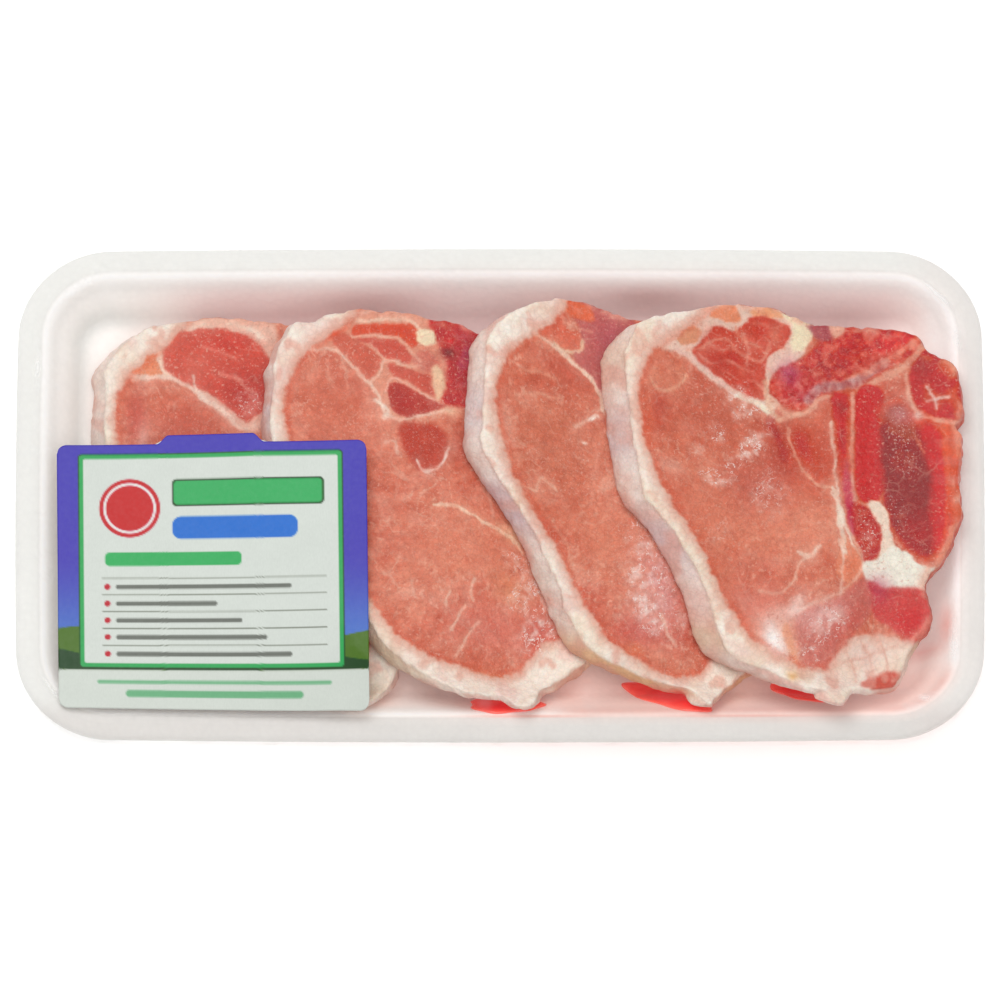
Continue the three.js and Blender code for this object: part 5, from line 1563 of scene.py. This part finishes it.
def make_label(film, material):
    """A paper label that follows the film under it."""
    length, width = LABEL_SIZE
    left, right, rise = LABEL_TAB
    columns, rows = int(length / LABEL_STEP), int(width / LABEL_STEP)

    def outline(u):
        beyond = np.maximum(0, np.maximum(LABEL_CORNER - u, u - (length - LABEL_CORNER)))
        cut = LABEL_CORNER - np.sqrt(np.maximum(0, LABEL_CORNER ** 2 - beyond ** 2))
        tab = rise * smooth((u - left) / 3.4) * smooth((right - u) / 3.4)
        return cut, width - cut + tab

    def place(u, v, lift):
        along, across = u - length / 2, v - width / 2
        x = LABEL_CENTRE[0] + along * math.cos(LABEL_TURN) - across * math.sin(LABEL_LEAN)
        y = LABEL_CENTRE[1] + along * math.sin(LABEL_TURN) + across * math.cos(LABEL_LEAN)
        around = [film_height_at(film, x + i, y + j) for i in (-2, 0, 2) for j in (-2, 0, 2)]
        height = 0.6 * np.max(around, 0) + 0.4 * np.mean(around, 0)
        return np.column_stack([x.ravel(), y.ravel(), height.ravel() + lift])

    def sheet(columns, rows, lift):
        u = np.repeat(np.linspace(0, length, columns + 1)[:, None], rows + 1, 1)
        low, high = outline(u)
        v = low + (high - low) * np.linspace(0, 1, rows + 1)[None, :]
        return u, v, place(u, v, lift)

    u, v, upper = sheet(columns, rows, LABEL_LIFT + LABEL_THICKNESS)
    edge = around_edge(np.arange(u.size).reshape(u.shape))
    skirt = upper[edge] - np.array([0, 0, LABEL_THICKNESS])
    low_u, _, lower = sheet(columns // 6, rows // 6, LABEL_LIFT)
    points = np.vstack([upper, skirt, lower])
    below = len(upper) + np.arange(len(edge))
    quads = np.vstack([
        grid_quads(*u.shape)[:, ::-1],
        band(edge, below),
        grid_quads(*low_u.shape, start=len(upper) + len(edge)),
    ])
    mesh = make_mesh("label", points, quads)
    tone = np.tile(np.array((226, 226, 222), float), (len(points), 1))
    tone[:len(upper)] = label_tone(u.ravel(), v.ravel())
    add_tone(mesh, tone, LABEL_SHINE)
    return add_piece("label_print", mesh, material, ["label"])


# Studio

def make_studio():
    half, drop = 1500, -0.2
    corners = [(-half, -half, drop), (half, -half, drop), (half, half, drop), (-half, half, drop)]
    mesh = make_mesh("floor", corners, np.array([[0, 1, 2, 3]]))
    floor = bpy.data.objects.new("studio_floor", mesh)
    bpy.context.scene.collection.objects.link(floor)
    mesh.materials.append(floor_look())

    world = bpy.data.worlds.new("studio")
    bpy.context.scene.world = world
    world.use_nodes = True
    background = world.node_tree.nodes["Background"]
    background.inputs["Color"].default_value = (1.0, 1.0, 1.0, 1)
    background.inputs["Strength"].default_value = 0.42

    for name, place, size, power in (("key", (-0.45, 0.55, 1.85), 1.2, 18.0),
                                     ("fill", (0.4, -0.6, 1.85), 1.3, 10.0)):
        light = bpy.data.lights.new(name, "AREA")
        light.shape = "SQUARE"
        light.size = size
        light.energy = power
        lamp = bpy.data.objects.new(name, light)
        lamp.location = place
        lamp.rotation_mode = "QUATERNION"
        lamp.rotation_quaternion = Vector(place).to_track_quat("Z", "Y")
        bpy.context.scene.collection.objects.link(lamp)


def make_camera():
    """A long lens from the front and above, so that the scale stays even over the pack."""
    back = Vector((0, -math.cos(ELEVATION), math.sin(ELEVATION)))
    right = Vector((1, 0, 0))
    up = right.cross(-back)
    rim = Vector((0, 0, 0.001 * (TRAY_BASE + RIM_TOP)))
    aim = rim - up * (0.001 * CENTRE_RISE / PIXELS_PER_MM)
    camera = bpy.data.cameras.new("camera")
    camera.sensor_width = 36
    camera.lens = LENS
    camera.clip_start, camera.clip_end = 0.05, 20
    seat = bpy.data.objects.new("camera", camera)
    seat.location = aim + back * CAMERA_DISTANCE
    seat.rotation_mode = "QUATERNION"
    seat.rotation_quaternion = Matrix((right, up, back)).transposed().to_quaternion()
    bpy.context.scene.collection.objects.link(seat)
    bpy.context.scene.camera = seat


make_studio()
make_camera()
bpy.context.scene.view_settings.view_transform = "Standard"

make_tray(foam_look())
meat = meat_look()
for number in range(len(CHOPS)):
    make_chop(number, meat)
juice = juice_look()
for pool in POOLS:
    make_pool(*pool, juice)
film_sheet = relax_film()
make_film(film_sheet, film_look())
make_label(film_sheet, label_look())
